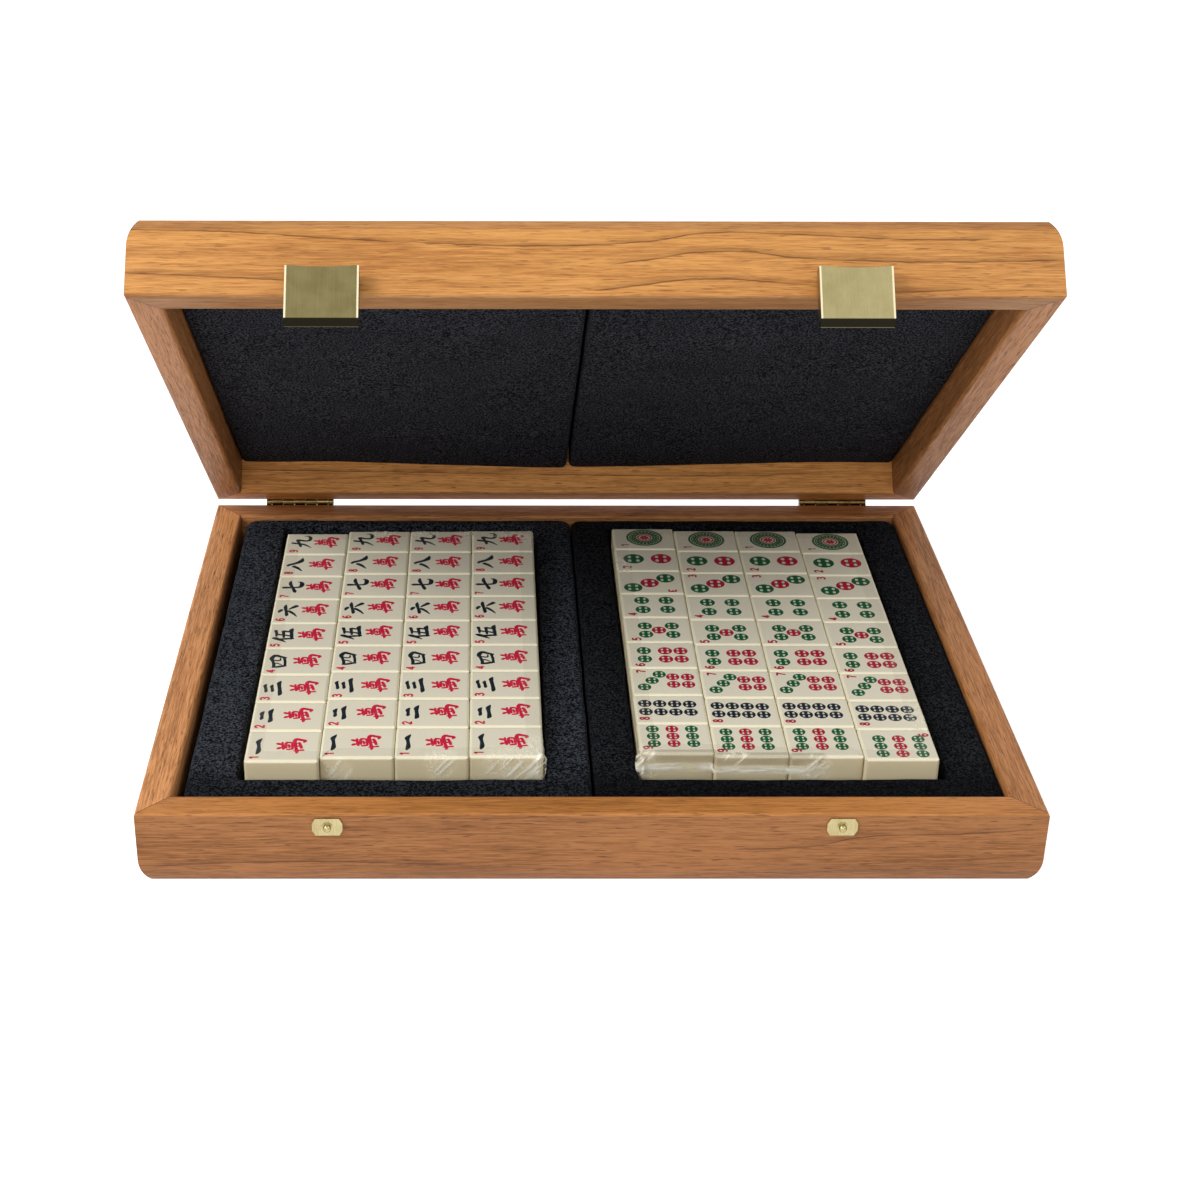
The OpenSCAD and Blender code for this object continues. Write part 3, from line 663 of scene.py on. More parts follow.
def ivory_finish():
    material, nodes, shader = new_material("ivory_tile")
    facing = nodes.put("ShaderNodeTexCoord")["Normal"]
    ivory = nodes.use(ivory_group(), Vector=nodes.millimetres(), Normal=facing)
    nodes.give(shader, Base_Color=ivory["Color"], Roughness=ivory["Roughness"])
    nodes.give(shader, Normal=nodes.bump(ivory["Height"], 0.0002, 0.25), Specular_IOR_Level=0.4)
    return material


def paint_group():
    """Paint rubbed into an engraved mark: a little thinner here and there."""
    nodes, given, close = new_group(
        "engraved paint",
        {"Vector": ORIGIN, "Paint": rgb(20, 32, 40), "Thin": rgb(52, 66, 74)},
        ("Color", "Roughness"),
    )
    patches = nodes.noise(given["Vector"], 0.45, 2.0, 0.6)
    share = nodes.spread(patches, 0.5, 0.8, 0.0, 0.55)
    rough = nodes.spread(patches, 0.3, 0.7, 0.34, 0.5)
    return close(Color=nodes.blend(share, given["Paint"], given["Thin"]), Roughness=rough)


PAINT = paint_group()


def paint_finish(name, paint, thin):
    material, nodes, shader = new_material(name)
    made = nodes.use(PAINT, Vector=nodes.millimetres(), Paint=paint, Thin=thin)
    nodes.give(shader, Base_Color=made["Color"], Roughness=made["Roughness"])
    return material


INK = paint_finish("paint_ink", rgb(20, 32, 40), rgb(52, 66, 74))
RED = paint_finish("paint_red", rgb(196, 30, 62), rgb(214, 74, 96))
CRIMSON = paint_finish("paint_crimson", rgb(166, 22, 52), rgb(188, 58, 82))
GREEN = paint_finish("paint_green", rgb(16, 84, 48), rgb(48, 112, 76))
NAVY = paint_finish("paint_navy", rgb(24, 30, 44), rgb(56, 64, 80))
BONE = paint_finish("paint_bone", rgb(196, 198, 176), rgb(210, 206, 184))

# Marks are drawn upright on a tile 23 mm wide and 30 mm high, (0, 0) in its middle. A stroke is
# a row of points: across, up and half the stroke's width there.
NUMERALS = {
    1: [[(-6.1, 10.5, 0.3), (-5.0, 10.1, 0.6), (-3.4, 9.8, 0.75), (-0.8, 9.95, 0.55), (1.6, 10.3, 0.6),
         (3.0, 10.5, 0.8), (4.4, 9.9, 0.6), (5.8, 9.2, 0.2)]],
    2: [[(-2.8, 11.2, 0.3), (-1.9, 10.9, 0.6), (0, 10.9, 0.5), (2.1, 11.1, 0.7), (3.7, 10.3, 0.25)],
        [(-4.9, 7.8, 0.3), (-3.6, 7.1, 0.75), (-1, 7.2, 0.6), (2, 7.5, 0.65), (3.6, 7.5, 0.8),
         (5.8, 6.6, 0.2)]],
    3: [[(-3.5, 11.2, 0.3), (-2.5, 11.0, 0.55), (0, 11.4, 0.5), (1.9, 11.8, 0.6), (3.3, 11.3, 0.25)],
        [(-3.1, 8.5, 0.3), (-2.2, 8.3, 0.55), (0, 8.6, 0.5), (1.5, 8.9, 0.6), (2.7, 8.5, 0.25)],
        [(-6.2, 5.3, 0.3), (-4.7, 4.9, 0.7), (-1, 5.3, 0.6), (2.5, 5.8, 0.65), (4.2, 5.9, 0.75),
         (5.8, 5.2, 0.25)]],
    4: [[(-5.5, 10.5, 0.35), (-5.0, 8, 0.6), (-4.3, 5.9, 0.6), (-4.1, 4.6, 0.45)],
        [(-5.2, 10.1, 0.5), (-3.5, 9.9, 0.55), (0, 10.7, 0.5), (2.2, 11.4, 0.75), (4.9, 10.1, 0.75),
         (4.1, 7.9, 0.6), (2.8, 5.0, 0.5)],
        [(-4.3, 5.1, 0.45), (-1, 5.2, 0.45), (2.9, 5.9, 0.5)],
        [(-2.0, 10.0, 0.3), (-1.9, 8.6, 0.35), (-3.3, 6.5, 0.2)],
        [(1.1, 10.6, 0.3), (0.4, 8.7, 0.35), (0.8, 7.5, 0.35), (2.7, 7.5, 0.2)]],
    5: [[(-2.0, 12.9, 0.35), (-2.4, 11.6, 0.8), (-4.0, 9.0, 0.6), (-5.8, 6.7, 0.2)],
        [(-3.2, 9.9, 0.5), (-2.9, 7.0, 0.6), (-2.5, 3.5, 0.45)],
        [(-0.6, 11.3, 0.35), (2, 11.4, 0.5), (4.9, 12.0, 0.6)],
        [(1.2, 11.3, 0.5), (0.7, 8.2, 0.45), (-0.3, 4.9, 0.45)],
        [(-1.6, 7.9, 0.4), (1.5, 8.2, 0.5), (4.4, 8.6, 0.6)],
        [(4.2, 8.4, 0.6), (3.9, 6.8, 0.5), (3.5, 5.0, 0.5)],
        [(-3.4, 4.4, 0.3), (-1, 4.4, 0.6), (3, 4.8, 0.6), (5.0, 5.0, 0.8), (6.7, 4.4, 0.25)]],
    6: [[(-1.5, 12.3, 0.3), (0.2, 11.8, 0.7), (1.3, 11.0, 0.6)],
        [(-4.8, 8.7, 0.3), (-3.4, 8.5, 0.65), (0, 9.1, 0.5), (3.6, 9.7, 0.65), (5.9, 9.6, 0.3)],
        [(0.1, 8.0, 0.6), (-2.0, 5.9, 0.55), (-5.2, 3.8, 0.2)],
        [(1.6, 8.0, 0.25), (3.2, 6.4, 0.6), (5.1, 4.4, 0.8)]],
    7: [[(-4.6, 6.8, 0.35), (-3.3, 6.9, 0.7), (0, 8.0, 0.5), (4.0, 9.3, 0.65), (6.7, 9.2, 0.35)],
        [(0.3, 12.7, 0.6), (0.4, 11.5, 0.75), (0.4, 8.0, 0.5), (0.6, 5.2, 0.55), (1.9, 4.0, 0.75),
         (4.4, 3.9, 0.8), (5.8, 4.7, 0.45), (5.9, 5.8, 0.2)]],
    8: [[(-1.1, 9.2, 0.75), (-2.9, 7.0, 0.65), (-6.0, 4.8, 0.2)],
        [(-0.9, 11.9, 0.4), (0.4, 11.2, 0.7), (2.2, 8.0, 0.7), (4.4, 5.7, 0.95), (7.5, 5.1, 0.2)]],
    9: [[(0.7, 12.1, 0.65), (0.2, 9.9, 0.6), (-1.0, 6.0, 0.55), (-4.4, 2.5, 0.2)],
        [(-3.6, 7.6, 0.35), (-2.2, 7.8, 0.55), (1, 8.7, 0.5), (3.9, 9.6, 0.7), (3.4, 7.5, 0.6),
         (3.0, 4.9, 0.55), (4.4, 3.5, 0.65), (7.2, 3.7, 0.6), (8.2, 4.9, 0.35), (8.2, 6.4, 0.2)]],
}
# The sign for ten thousand: grass on top, a barred box, and a broad roof with a hooked side
TEN_THOUSAND = [
    [(-1.4, 1.4, 0.35), (-0.9, 0.9, 0.6), (-0.4, 0.0, 0.45)],
    [(2.7, 1.9, 0.4), (2.4, 1.0, 0.6), (1.9, -0.2, 0.4)],
    [(-1.8, -1.2, 0.35), (-0.7, -0.95, 0.5), (1.5, -0.6, 0.45), (3.7, -0.3, 0.35)],
    [(-0.9, -2.2, 0.4), (1.3, -1.9, 0.45), (3.3, -1.9, 0.5)],
    [(3.5, -2.0, 0.5), (3.5, -3.3, 0.45), (3.2, -4.5, 0.4)],
    [(-1.9, -2.5, 0.4), (-1.7, -3.7, 0.45), (-1.4, -4.9, 0.4)],
    [(-0.6, -3.5, 0.3), (0.7, -3.3, 0.4), (2.0, -3.0, 0.35)],
    [(-1.5, -4.8, 0.4), (0.8, -4.6, 0.4), (3.1, -4.3, 0.4)],
    [(0.9, -2.2, 0.25), (0.8, -4.5, 0.3), (0.7, -7.9, 0.35)],
    [(-4.9, -6.6, 0.25), (-3.3, -6.7, 0.6), (-0.5, -6.1, 0.5), (2.2, -5.7, 0.55), (4.3, -5.2, 0.65),
     (6.0, -5.9, 0.65), (5.5, -7.6, 0.6), (4.8, -9.6, 0.6), (3.4, -9.0, 0.3)],
    [(-2.9, -5.4, 0.3), (-2.6, -7.3, 0.4), (-2.3, -9.4, 0.45)],
    [(-1.0, -8.4, 0.45), (0.6, -8.1, 0.5), (3.2, -7.2, 0.5)],
    [(2.7, -6.6, 0.3), (3.3, -7.4, 0.5)],
]
# Index digits in a box one wide and one high
DIGITS = {
    1: [[(0.2, 0.76), (0.58, 1.0), (0.58, 0.5), (0.58, 0.0)]],
    2: [[(0.05, 0.76), (0.3, 0.98), (0.75, 0.95), (0.9, 0.7), (0.6, 0.4), (0.05, 0.02)],
        [(0.05, 0.0), (0.95, 0.0)]],
    3: [[(0.08, 0.9), (0.45, 1.0), (0.85, 0.86), (0.8, 0.62), (0.4, 0.53)],
        [(0.4, 0.53), (0.85, 0.45), (0.95, 0.2), (0.55, 0.0), (0.05, 0.1)]],
    4: [[(0.72, 0.0), (0.72, 0.5), (0.72, 1.0)], [(0.72, 1.0), (0.4, 0.65), (0.02, 0.27)],
        [(0.02, 0.27), (1.0, 0.27)]],
    5: [[(0.9, 1.0), (0.2, 1.0)], [(0.2, 1.0), (0.12, 0.55)],
        [(0.12, 0.52), (0.5, 0.63), (0.92, 0.42), (0.85, 0.12), (0.5, 0.0), (0.08, 0.08)]],
    6: [[(0.85, 0.93), (0.5, 1.0), (0.15, 0.75), (0.08, 0.35), (0.3, 0.03), (0.7, 0.03), (0.92, 0.3),
         (0.7, 0.55), (0.3, 0.52), (0.1, 0.36)]],
    7: [[(0.03, 1.0), (0.97, 1.0)], [(0.95, 1.0), (0.6, 0.5), (0.42, 0.0)]],
    8: [[(0.5, 0.54), (0.17, 0.7), (0.25, 0.95), (0.5, 1.0), (0.75, 0.95), (0.83, 0.7), (0.5, 0.54)],
        [(0.5, 0.54), (0.1, 0.33), (0.2, 0.05), (0.5, 0.0), (0.8, 0.05), (0.9, 0.33), (0.5, 0.54)]],
    9: [[(0.15, 0.07), (0.5, 0.0), (0.85, 0.25), (0.92, 0.65), (0.7, 0.97), (0.3, 0.97), (0.08, 0.7),
         (0.3, 0.45), (0.7, 0.48), (0.9, 0.64)]],
}
DIGIT_W, DIGIT_H, DIGIT_STROKE = 2.2, 3.5, 0.33
CHARACTER_INDEX = {1: (-8.7, 11.2), 2: (-8.4, 11.1), 3: (-8.8, 10.9), 4: (-8.8, 10.9), 5: (-8.7, 11.2),
                   6: (-8.2, 11.1), 7: (-8.4, 11.2), 8: (-8.1, 10.9), 9: (-8.1, 10.6)}
SIGN_SHIFT = {1: (-0.9, 0.9), 2: (0, 0), 3: (-0.7, -0.8), 4: (-0.4, -0.1), 5: (0.1, -0.1), 6: (0.5, 0.1),
              7: (0.1, 0), 8: (0.1, 0), 9: (0.6, -0.5)}
CIRCLE_INDEX = {1: (-6.9, 9.6), 2: (-7.4, 10.1), 3: (8.7, 9.9), 4: (-8.3, 10.4), 5: (-8.8, 10.2),
                6: (-8.8, 10.2), 7: (8.7, 10.2), 8: (-7.4, 11.2), 9: (-7.0, 11.6)}
# Coins of each circle tile: paint, radius and the middles
COINS = {
    2: [("green", 5.0, [(1.4, 6.4)]), ("red", 5.0, [(1.4, -6.8)])],
    3: [("green", 4.35, [(-4.0, 7.5), (5.4, -8.3)]), ("red", 4.35, [(0.8, -0.3)])],
    4: [("green", 3.5, [(-3.9, 5.3), (5.1, 5.3), (-3.9, -6.05), (5.0, -6.05)])],
    5: [("green", 3.25, [(-4.3, 5.7), (3.5, 5.7), (-4.6, -6.5), (3.4, -6.5)]),
        ("red", 3.25, [(-0.5, -0.4)])],
    6: [("green", 3.2, [(-3.6, 7.9), (3.8, 7.8)]),
        ("red", 3.2, [(-3.8, -1.4), (3.6, -1.5), (-3.8, -8.3), (3.5, -8.4)])],
    7: [("green", 2.9, [(-4.8, 9.6), (0.7, 6.0), (6.1, 2.6)]),
        ("red", 2.9, [(-2.5, -3.1), (4.0, -3.1), (-2.5, -9.5), (3.9, -9.5)])],
    8: [("navy", 2.9, [(-1.9, 10.3), (4.8, 10.3), (-2.1, 4.0), (4.6, 4.0), (-2.3, -2.3), (4.4, -2.3),
                       (-2.4, -8.6), (4.1, -8.6)])],
    9: [("green", 2.7, [(-4.0, 8.8), (1.7, 8.8), (7.4, 8.8), (-4.0, -7.4), (1.7, -7.4), (7.4, -7.4)]),
        ("red", 2.7, [(-4.0, 0.7), (1.7, 0.7), (7.4, 0.7)])],
}
# Tiles that lie the other way round: block, column and row
TURNED_TILES = {("right", 0, 6), ("right", 3, 0)}


def tile_middle(side, column, row):
    x = BLOCK_X[side] + (column - (COLUMNS - 1) / 2) * PITCH_X
    return x, BLOCK_Y + (row - (ROWS - 1) / 2) * PITCH_Y + SLIP[side][column]


def on_tile(side, column, row, point, lean=0.0, shift=(0.0, 0.0)):
    """A point of an upright mark brought to its tile, whose top points to the left."""
    u, v = point[0] + shift[0], point[1] + shift[1]
    c, s = math.cos(lean), math.sin(lean)
    u, v = c * u - s * v, s * u + c * v
    if (side, column, row) in TURNED_TILES:
        u, v = -u, -v
    x, y = tile_middle(side, column, row)
    return x - v, y + u


def smoothed(stroke, finer=3):
    """More points on a curve through a stroke's points."""
    made = []
    for k in range(len(stroke) - 1):
        before, first = stroke[max(k - 1, 0)], stroke[k]
        last, after = stroke[k + 1], stroke[min(k + 2, len(stroke) - 1)]
        for step in range(finer):
            t = step / finer
            made.append(tuple(
                b + 0.5 * t * (c - a + t * (2 * a - 5 * b + 4 * c - d + t * (3 * b - a - 3 * c + d)))
                for a, b, c, d in zip(before, first, last, after)
            ))
    return made + [stroke[-1]]


def stroke_prism(stroke, moved, low, high):
    """Points and faces of a flat stroke with soft ends. moved places a drawn point on the part."""
    line = smoothed(stroke, 3 if len(stroke) > 2 else 1)
    ends = []
    for tip, inner in ((line[0], line[1]), (line[-1], line[-2])):
        away = Vector(tip[:2]) - Vector(inner[:2])
        u, v = Vector(tip[:2]) + away.normalized() * TIP_REACH * tip[2]
        ends.append((u, v, TIP_WIDTH * tip[2]))
    line = [ends[0]] + line + [ends[1]]
    rims = []
    for k, (u, v, half) in enumerate(line):
        first, last = line[max(k - 1, 0)], line[min(k + 1, len(line) - 1)]
        dx, dy = last[0] - first[0], last[1] - first[1]
        wide = half * FULLNESS / (math.hypot(dx, dy) or 1.0)
        rims += [moved((u - sign * dy * wide, v + sign * dx * wide)) for sign in (1, -1)]
    count = len(rims)
    points = [(x, y, high) for x, y in rims] + [(x, y, low) for x, y in rims]
    faces = []
    for k in range(0, count - 2, 2):
        a, b, c, d = k, k + 1, k + 3, k + 2
        faces += [(a, b, c, d), (d + count, c + count, b + count, a + count)]
        faces += [(b, b + count, c + count, c), (d, d + count, a + count, a)]
    faces += [(0, count, count + 1, 1), (count - 1, 2 * count - 1, 2 * count - 2, count - 2)]
    return points, faces


def gather(parts):
    """Several meshes' points and faces as one."""
    points, faces = [], []
    for some_points, some_faces in parts:
        start = len(points)
        points += some_points
        faces += [tuple(start + i for i in face) for face in some_faces]
    return points, faces


def mark_strokes(strokes, side, column, row, lean, shift, lift=0.0):
    """All strokes of one mark on one tile, each a hair higher than the one before."""
    def moved(point):
        return on_tile(side, column, row, point, lean, shift)

    return [
        stroke_prism(stroke, moved, TILE_TOP - 0.05, TILE_TOP + 0.02 + lift + 0.002 * k)
        for k, stroke in enumerate(strokes)
    ]


def chance(*seed):
    """A number from -1 to 1 that is always the same for the same seed."""
    return noise.noise(Vector((seed[0] * 3.7 + 0.31, seed[1] * 5.3 + 0.77, seed[2] * 2.9 + 0.13))) * 1.6


def index_digit(rank, middle):
    """The strokes of an index digit about its middle."""
    u, v = middle[0] - DIGIT_W / 2, middle[1] - DIGIT_H / 2
    return [
        [(u + a * DIGIT_W, v + b * DIGIT_H, DIGIT_STROKE) for a, b in stroke]
        for stroke in DIGITS[rank]
    ]


def add_characters():
    """Numerals in ink, and the sign for ten thousand and the index digits in red."""
    ink, red = [], []
    for rank in range(1, ROWS + 1):
        for column in range(COLUMNS):
            where = ("left", column, rank - 1)
            lean = 0.02 * chance(column, rank, 1)
            loose = (0.3 * chance(column, rank, 2), 0.3 * chance(column, rank, 3))
            ink += mark_strokes(NUMERALS[rank], *where, lean, loose)
            shift = (loose[0] + SIGN_SHIFT[rank][0], loose[1] + SIGN_SHIFT[rank][1])
            red += mark_strokes(TEN_THOUSAND, *where, lean, shift)
            red += mark_strokes(index_digit(rank, CHARACTER_INDEX[rank]), *where, 0.0, loose)
    add_piece("character_numerals", *gather(ink), "base", "tile", INK)
    add_piece("character_signs", *gather(red), "base", "tile", RED)

def coin_tree(name):
    """Flat round coins set on points, each with four pale spots. The points carry their radius."""
    tree = bpy.data.node_groups.new(name, "GeometryNodeTree")
    tree.interface.new_socket("Geometry", in_out="INPUT", socket_type="NodeSocketGeometry")
    sizes = {"Thickness": 0.00007, "Spot across": 0.25, "Spot up": 0.18, "Spot reach": 0.55}
    for label, value in sizes.items():
        made = tree.interface.new_socket(label, in_out="INPUT", socket_type="NodeSocketFloat")
        made.default_value = value
    for label in ("Paint", "Spot paint"):
        tree.interface.new_socket(label, in_out="INPUT", socket_type="NodeSocketMaterial")
    tree.interface.new_socket("Geometry", in_out="OUTPUT", socket_type="NodeSocketGeometry")
    nodes = Nodes(tree)
    given = nodes.put("NodeGroupInput")

    def disc(sides, depth, paint):
        shape = {"Vertices": sides, "Radius": 1.0, "Depth": depth}
        mesh = nodes.put("GeometryNodeMeshCylinder", shape)["Mesh"]
        return nodes.put("GeometryNodeSetMaterial", {"Geometry": mesh, "Material": given[paint]})[0]

    def on_points(points, thing, x, y):
        scale = nodes.put("ShaderNodeCombineXYZ", {"X": x, "Y": y, "Z": 1.0})[0]
        values = {"Points": points, "Instance": thing, "Scale": scale}
        return nodes.put("GeometryNodeInstanceOnPoints", values)[0]

    plain = disc(22, given["Thickness"], "Paint")
    spot = disc(10, nodes.times(given["Thickness"], 1.25), "Spot paint")
    ring = nodes.put("GeometryNodeMeshCircle", {"Vertices": 4, "Radius": given["Spot reach"]})["Mesh"]
    turned = {"Geometry": ring, "Rotation": (0, 0, math.radians(45))}
    ring = nodes.put("GeometryNodeTransform", turned)[0]
    spots = on_points(ring, spot, given["Spot up"], given["Spot across"])
    coin = tree.nodes.new("GeometryNodeJoinGeometry")
    for part in (plain, spots):
        tree.links.new(part, coin.inputs[0])
    radius = nodes.put("GeometryNodeInputNamedAttribute", {"Name": "radius"}, data_type="FLOAT")[0]
    coins = on_points(given["Geometry"], coin.outputs[0], radius, radius)
    real = nodes.put("GeometryNodeRealizeInstances", {"Geometry": coins})[0]
    nodes.put("NodeGroupOutput", {0: real})
    return tree


def add_coins(name, tree, middles, paint):
    """One piece with all the coins of a colour."""
    mesh = bpy.data.meshes.new(name + "_points")
    mesh.from_pydata([(x * MM, y * MM, (TILE_TOP - 0.01) * MM) for x, y, _ in middles], [], [])
    sizes = mesh.attributes.new("radius", "FLOAT", "POINT")
    sizes.data.foreach_set("value", [r * MM for _, _, r in middles])
    maker = add_object(name + "_points", mesh)
    set_up = maker.modifiers.new("coins", "NODES")
    set_up.node_group = tree
    sockets = {item.name: item.identifier for item in tree.interface.items_tree if item.in_out == "INPUT"}
    set_up[sockets["Paint"]] = paint
    set_up[sockets["Spot paint"]] = BONE
    bpy.context.view_layer.update()
    shown = maker.evaluated_get(bpy.context.evaluated_depsgraph_get())
    piece = add_object(name, bpy.data.meshes.new_from_object(shown))
    bpy.data.objects.remove(maker)
    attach(piece, "base")


def add_circles():
    """The coins of ranks 2 to 9, with index digits in crimson."""
    coins = {"green": [], "red": [], "navy": []}
    digits = []
    for rank in range(1, ROWS + 1):
        for column in range(COLUMNS):
            where = ("right", column, ROWS - rank)
            lean = 0.015 * chance(column, rank, 4)
            loose = (0.25 * chance(column, rank, 5), 0.25 * chance(column, rank, 6))
            for paint, radius, middles in COINS.get(rank, []):
                for middle in middles:
                    x, y = on_tile(*where, middle, lean, loose)
                    coins[paint].append((x, y, radius))
            digits += mark_strokes(index_digit(rank, CIRCLE_INDEX[rank]), *where, 0.0, loose)
    tree = coin_tree("coins")
    add_coins("coins_green", tree, coins["green"], GREEN)
    add_coins("coins_red", tree, coins["red"], CRIMSON)
    add_coins("coins_navy", tree, coins["navy"], NAVY)
    add_piece("circle_digits", *gather(digits), "base", "tile", CRIMSON)


def flat_ring(moved, outer, inner, low, high, count=48):
    """A flat ring, closed below and above."""
    points = []
    for radius, z in ((outer, high), (inner, high), (inner, low), (outer, low)):
        for k in range(count):
            angle = 2 * math.pi * k / count
            points.append((*moved((radius * math.cos(angle), radius * math.sin(angle))), z))
    faces = []
    for band in range(4):
        for k in range(count):
            j = (k + 1) % count
            after = (band + 1) % 4
            faces.append((band * count + k, band * count + j, after * count + j, after * count + k))
    return points, faces


# The leaves and petals of the great circle: distance from its middle and half the width there
LEAVES, LEAF = 22, ((5.0, 0.36), (5.9, 0.62), (6.8, 0.4))
PETALS, PETAL = 8, ((0.4, 0.2), (1.5, 0.45), (2.4, 0.2))
ROSETTE_SHIFT = (1.2, -0.4)


def spoke(moved, turn, along, low, high):
    """A stroke outward from the middle. turn is the share of a full turn at which it points."""
    c, s = math.cos(2 * math.pi * turn), math.sin(2 * math.pi * turn)
    return stroke_prism([(r * c, r * s, half) for r, half in along], moved, low, high)


def add_rosettes():
    """The single great circle of rank 1: rings, a wreath of leaves and a red heart."""
    green, red = [], []
    low, high = TILE_TOP - 0.05, TILE_TOP + 0.025
    for column in range(COLUMNS):
        def moved(point, column=column):
            u, v = point[0] + ROSETTE_SHIFT[0], point[1] + ROSETTE_SHIFT[1]
            return on_tile("right", column, ROWS - 1, (u, v), 0.02 * chance(column, 1, 7))

        for outer, inner in ((8.9, 7.8), (7.5, 6.9), (4.9, 4.0)):
            green.append(flat_ring(moved, outer, inner, low, high))
        green += [spoke(moved, k / LEAVES, LEAF, low, high) for k in range(LEAVES)]
        red.append(flat_ring(moved, 3.6, 2.8, low, high, 32))
        red += [spoke(moved, (k + 0.5) / PETALS, PETAL, low, high) for k in range(PETALS)]
    add_piece("rosettes_green", *gather(green), "base", "tile", GREEN)
    add_piece("rosettes_red", *gather(red), "base", "tile", CRIMSON)


# ---------------------------------------------------------------- brass


def brass_group():
    """Satin brass: fine brushing one way, faint stains and slow changes of tone."""
    nodes, given, close = new_group(
        "satin brass",
        {
            "Vector": ORIGIN, "Brushing": ORIGIN,
            "Light": rgb(186, 174, 128), "Dark": rgb(150, 136, 92),
            "Rough low": 0.24, "Rough high": 0.34,
        },
        ("Color", "Roughness", "Height"),
    )
    lines = nodes.noise(given["Brushing"], 1.0, 3.0, 0.6)
    stains = nodes.noise(given["Vector"], 0.12, 3.0, 0.55)
    share = nodes.spread(stains, 0.3, 0.75, 0.25, 0.75)
    share = nodes.clamp(nodes.ramp(nodes.less(lines, 0.5), 1.6, share))
    rough = nodes.spread(lines, 0.3, 0.7, given["Rough low"], given["Rough high"], smooth=False)
    return close(Color=nodes.blend(share, given["Light"], given["Dark"]), Roughness=rough, Height=lines)


BRASS = brass_group()
# Below this height a cover's foot is bent in and, over the height of its lip, painted nearly black as a
# dark reflection of the foam below
FOOT_Z = LID_RIM_Z - COVER_DROP
LIP_H = 2.6
# Width of the pale painted highlight along a cover's sides
SIDE_HIGHLIGHT = 0.6


def paint_cover_light(nodes, shader, where, colour, left, right):
    """A clasp cover's painted light: its bent-in foot is painted nearly black as a dark reflection, and
    its sides get a pale matt painted highlight.
    """
    x, _, height = nodes.axes(where)
    bend = (FOOT_Z - 0.2, FOOT_Z + 0.1)
    # Painted dark reflection: the bent-in foot is made nearly black
    dark_foot_reflection = nodes.spread(height, *bend, 1.0, 0.0)
    lip = nodes.spread(height, FOOT_Z - LIP_H - 0.15, FOOT_Z - LIP_H, 0.55, 0.985)
    colour = nodes.blend(nodes.times(dark_foot_reflection, lip), colour, rgb(24, 23, 18))
    off_middle = nodes.size(nodes.less(x, (left + right) / 2))
    half = (right - left) / 2
    # Painted highlight: the front of each side strip is pale, matt and not metallic
    side_highlight = nodes.spread(off_middle, half - SIDE_HIGHLIGHT - 0.25, half - SIDE_HIGHLIGHT)
    sideways = nodes.size(nodes.axes(nodes.put("ShaderNodeTexCoord")["Normal"])["X"])
    in_front = nodes.spread(sideways, 0.5, 0.9, 1.0, 0.0)
    pale = nodes.times(side_highlight, in_front, nodes.spread(height, *bend))
    nodes.give(shader, Metallic=nodes.less(1.0, pale))
    return nodes.blend(pale, colour, rgb(228, 216, 180))


def brass_finish(name, lid=False, along=(2.4, 2.4, 0.05), cover=None, **values):
    """Brass with its brushing along one way. cover is a clasp cover's range in X."""
    material, nodes, shader = new_material(name)
    where = nodes.millimetres(lid)
    made = nodes.use(BRASS, Vector=where, Brushing=nodes.stretched(where, along), **values)
    colour = made["Color"]
    shader.inputs["Metallic"].default_value = 1.0
    if cover:
        colour = paint_cover_light(nodes, shader, where, colour, *cover)
    nodes.give(shader, Base_Color=colour, Roughness=made["Roughness"])
    nodes.give(shader, Normal=nodes.bump(made["Height"], 0.00002, 0.35))
    return material


def dress_metal_and_tiles():
    """Ivory on every tile, and on each metal piece a brass of its own age and tone."""
    dress(ivory_finish(), *[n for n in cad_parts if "_rank_" in n or n.endswith("_tiles")])
    tones = (rgb(144, 133, 92), rgb(118, 106, 68)), (rgb(178, 167, 123), rgb(155, 142, 98))
    for side, (light, dark) in zip(SIDES, tones):
        low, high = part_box(side + "_clasp_cover")
        name, reach = "brass_" + side + "_cover", (low[0] / MM, high[0] / MM)
        cover = brass_finish(name, lid=True, cover=reach, Light=light, Dark=dark)
        dress(cover, side + "_clasp_cover")

    def both(name):
        return ["left_" + name, "right_" + name]

    keeper = {"Light": rgb(190, 178, 136), "Dark": rgb(164, 150, 106)}
    aged = {"Light": rgb(122, 99, 58), "Dark": rgb(70, 53, 28), "along": (0.05, 2.4, 2.4)}
    turned = {"along": (1.5, 1.5, 1.5), "Rough_low": 0.2, "Rough_high": 0.3}
    spring = {
        "Light": rgb(170, 146, 92), "Dark": rgb(142, 112, 62), "Rough_low": 0.22, "Rough_high": 0.32,
    }
    screws = ["lid_hinge_screws", "base_hinge_screws", "clasp_screws"]
    studs_and_pins = both("ball_stud") + both("clasp_pin") + both("hinge_pin")
    metals = (
        ("keeper", False, keeper, both("keeper") + ["keeper_nails"]),
        ("lid_fittings", True, aged, both("hinge_lid_leaf") + both("clasp_bracket")),
        ("base_fittings", False, aged, both("hinge_base_leaf")),
        ("turned", False, turned, studs_and_pins + screws),
        ("spring", True, spring, both("catch_spring")),
    )
    for name, lid, values, pieces in metals:
        dress(brass_finish("brass_" + name, lid=lid, **values), *pieces)


# ---------------------------------------------------------------- film

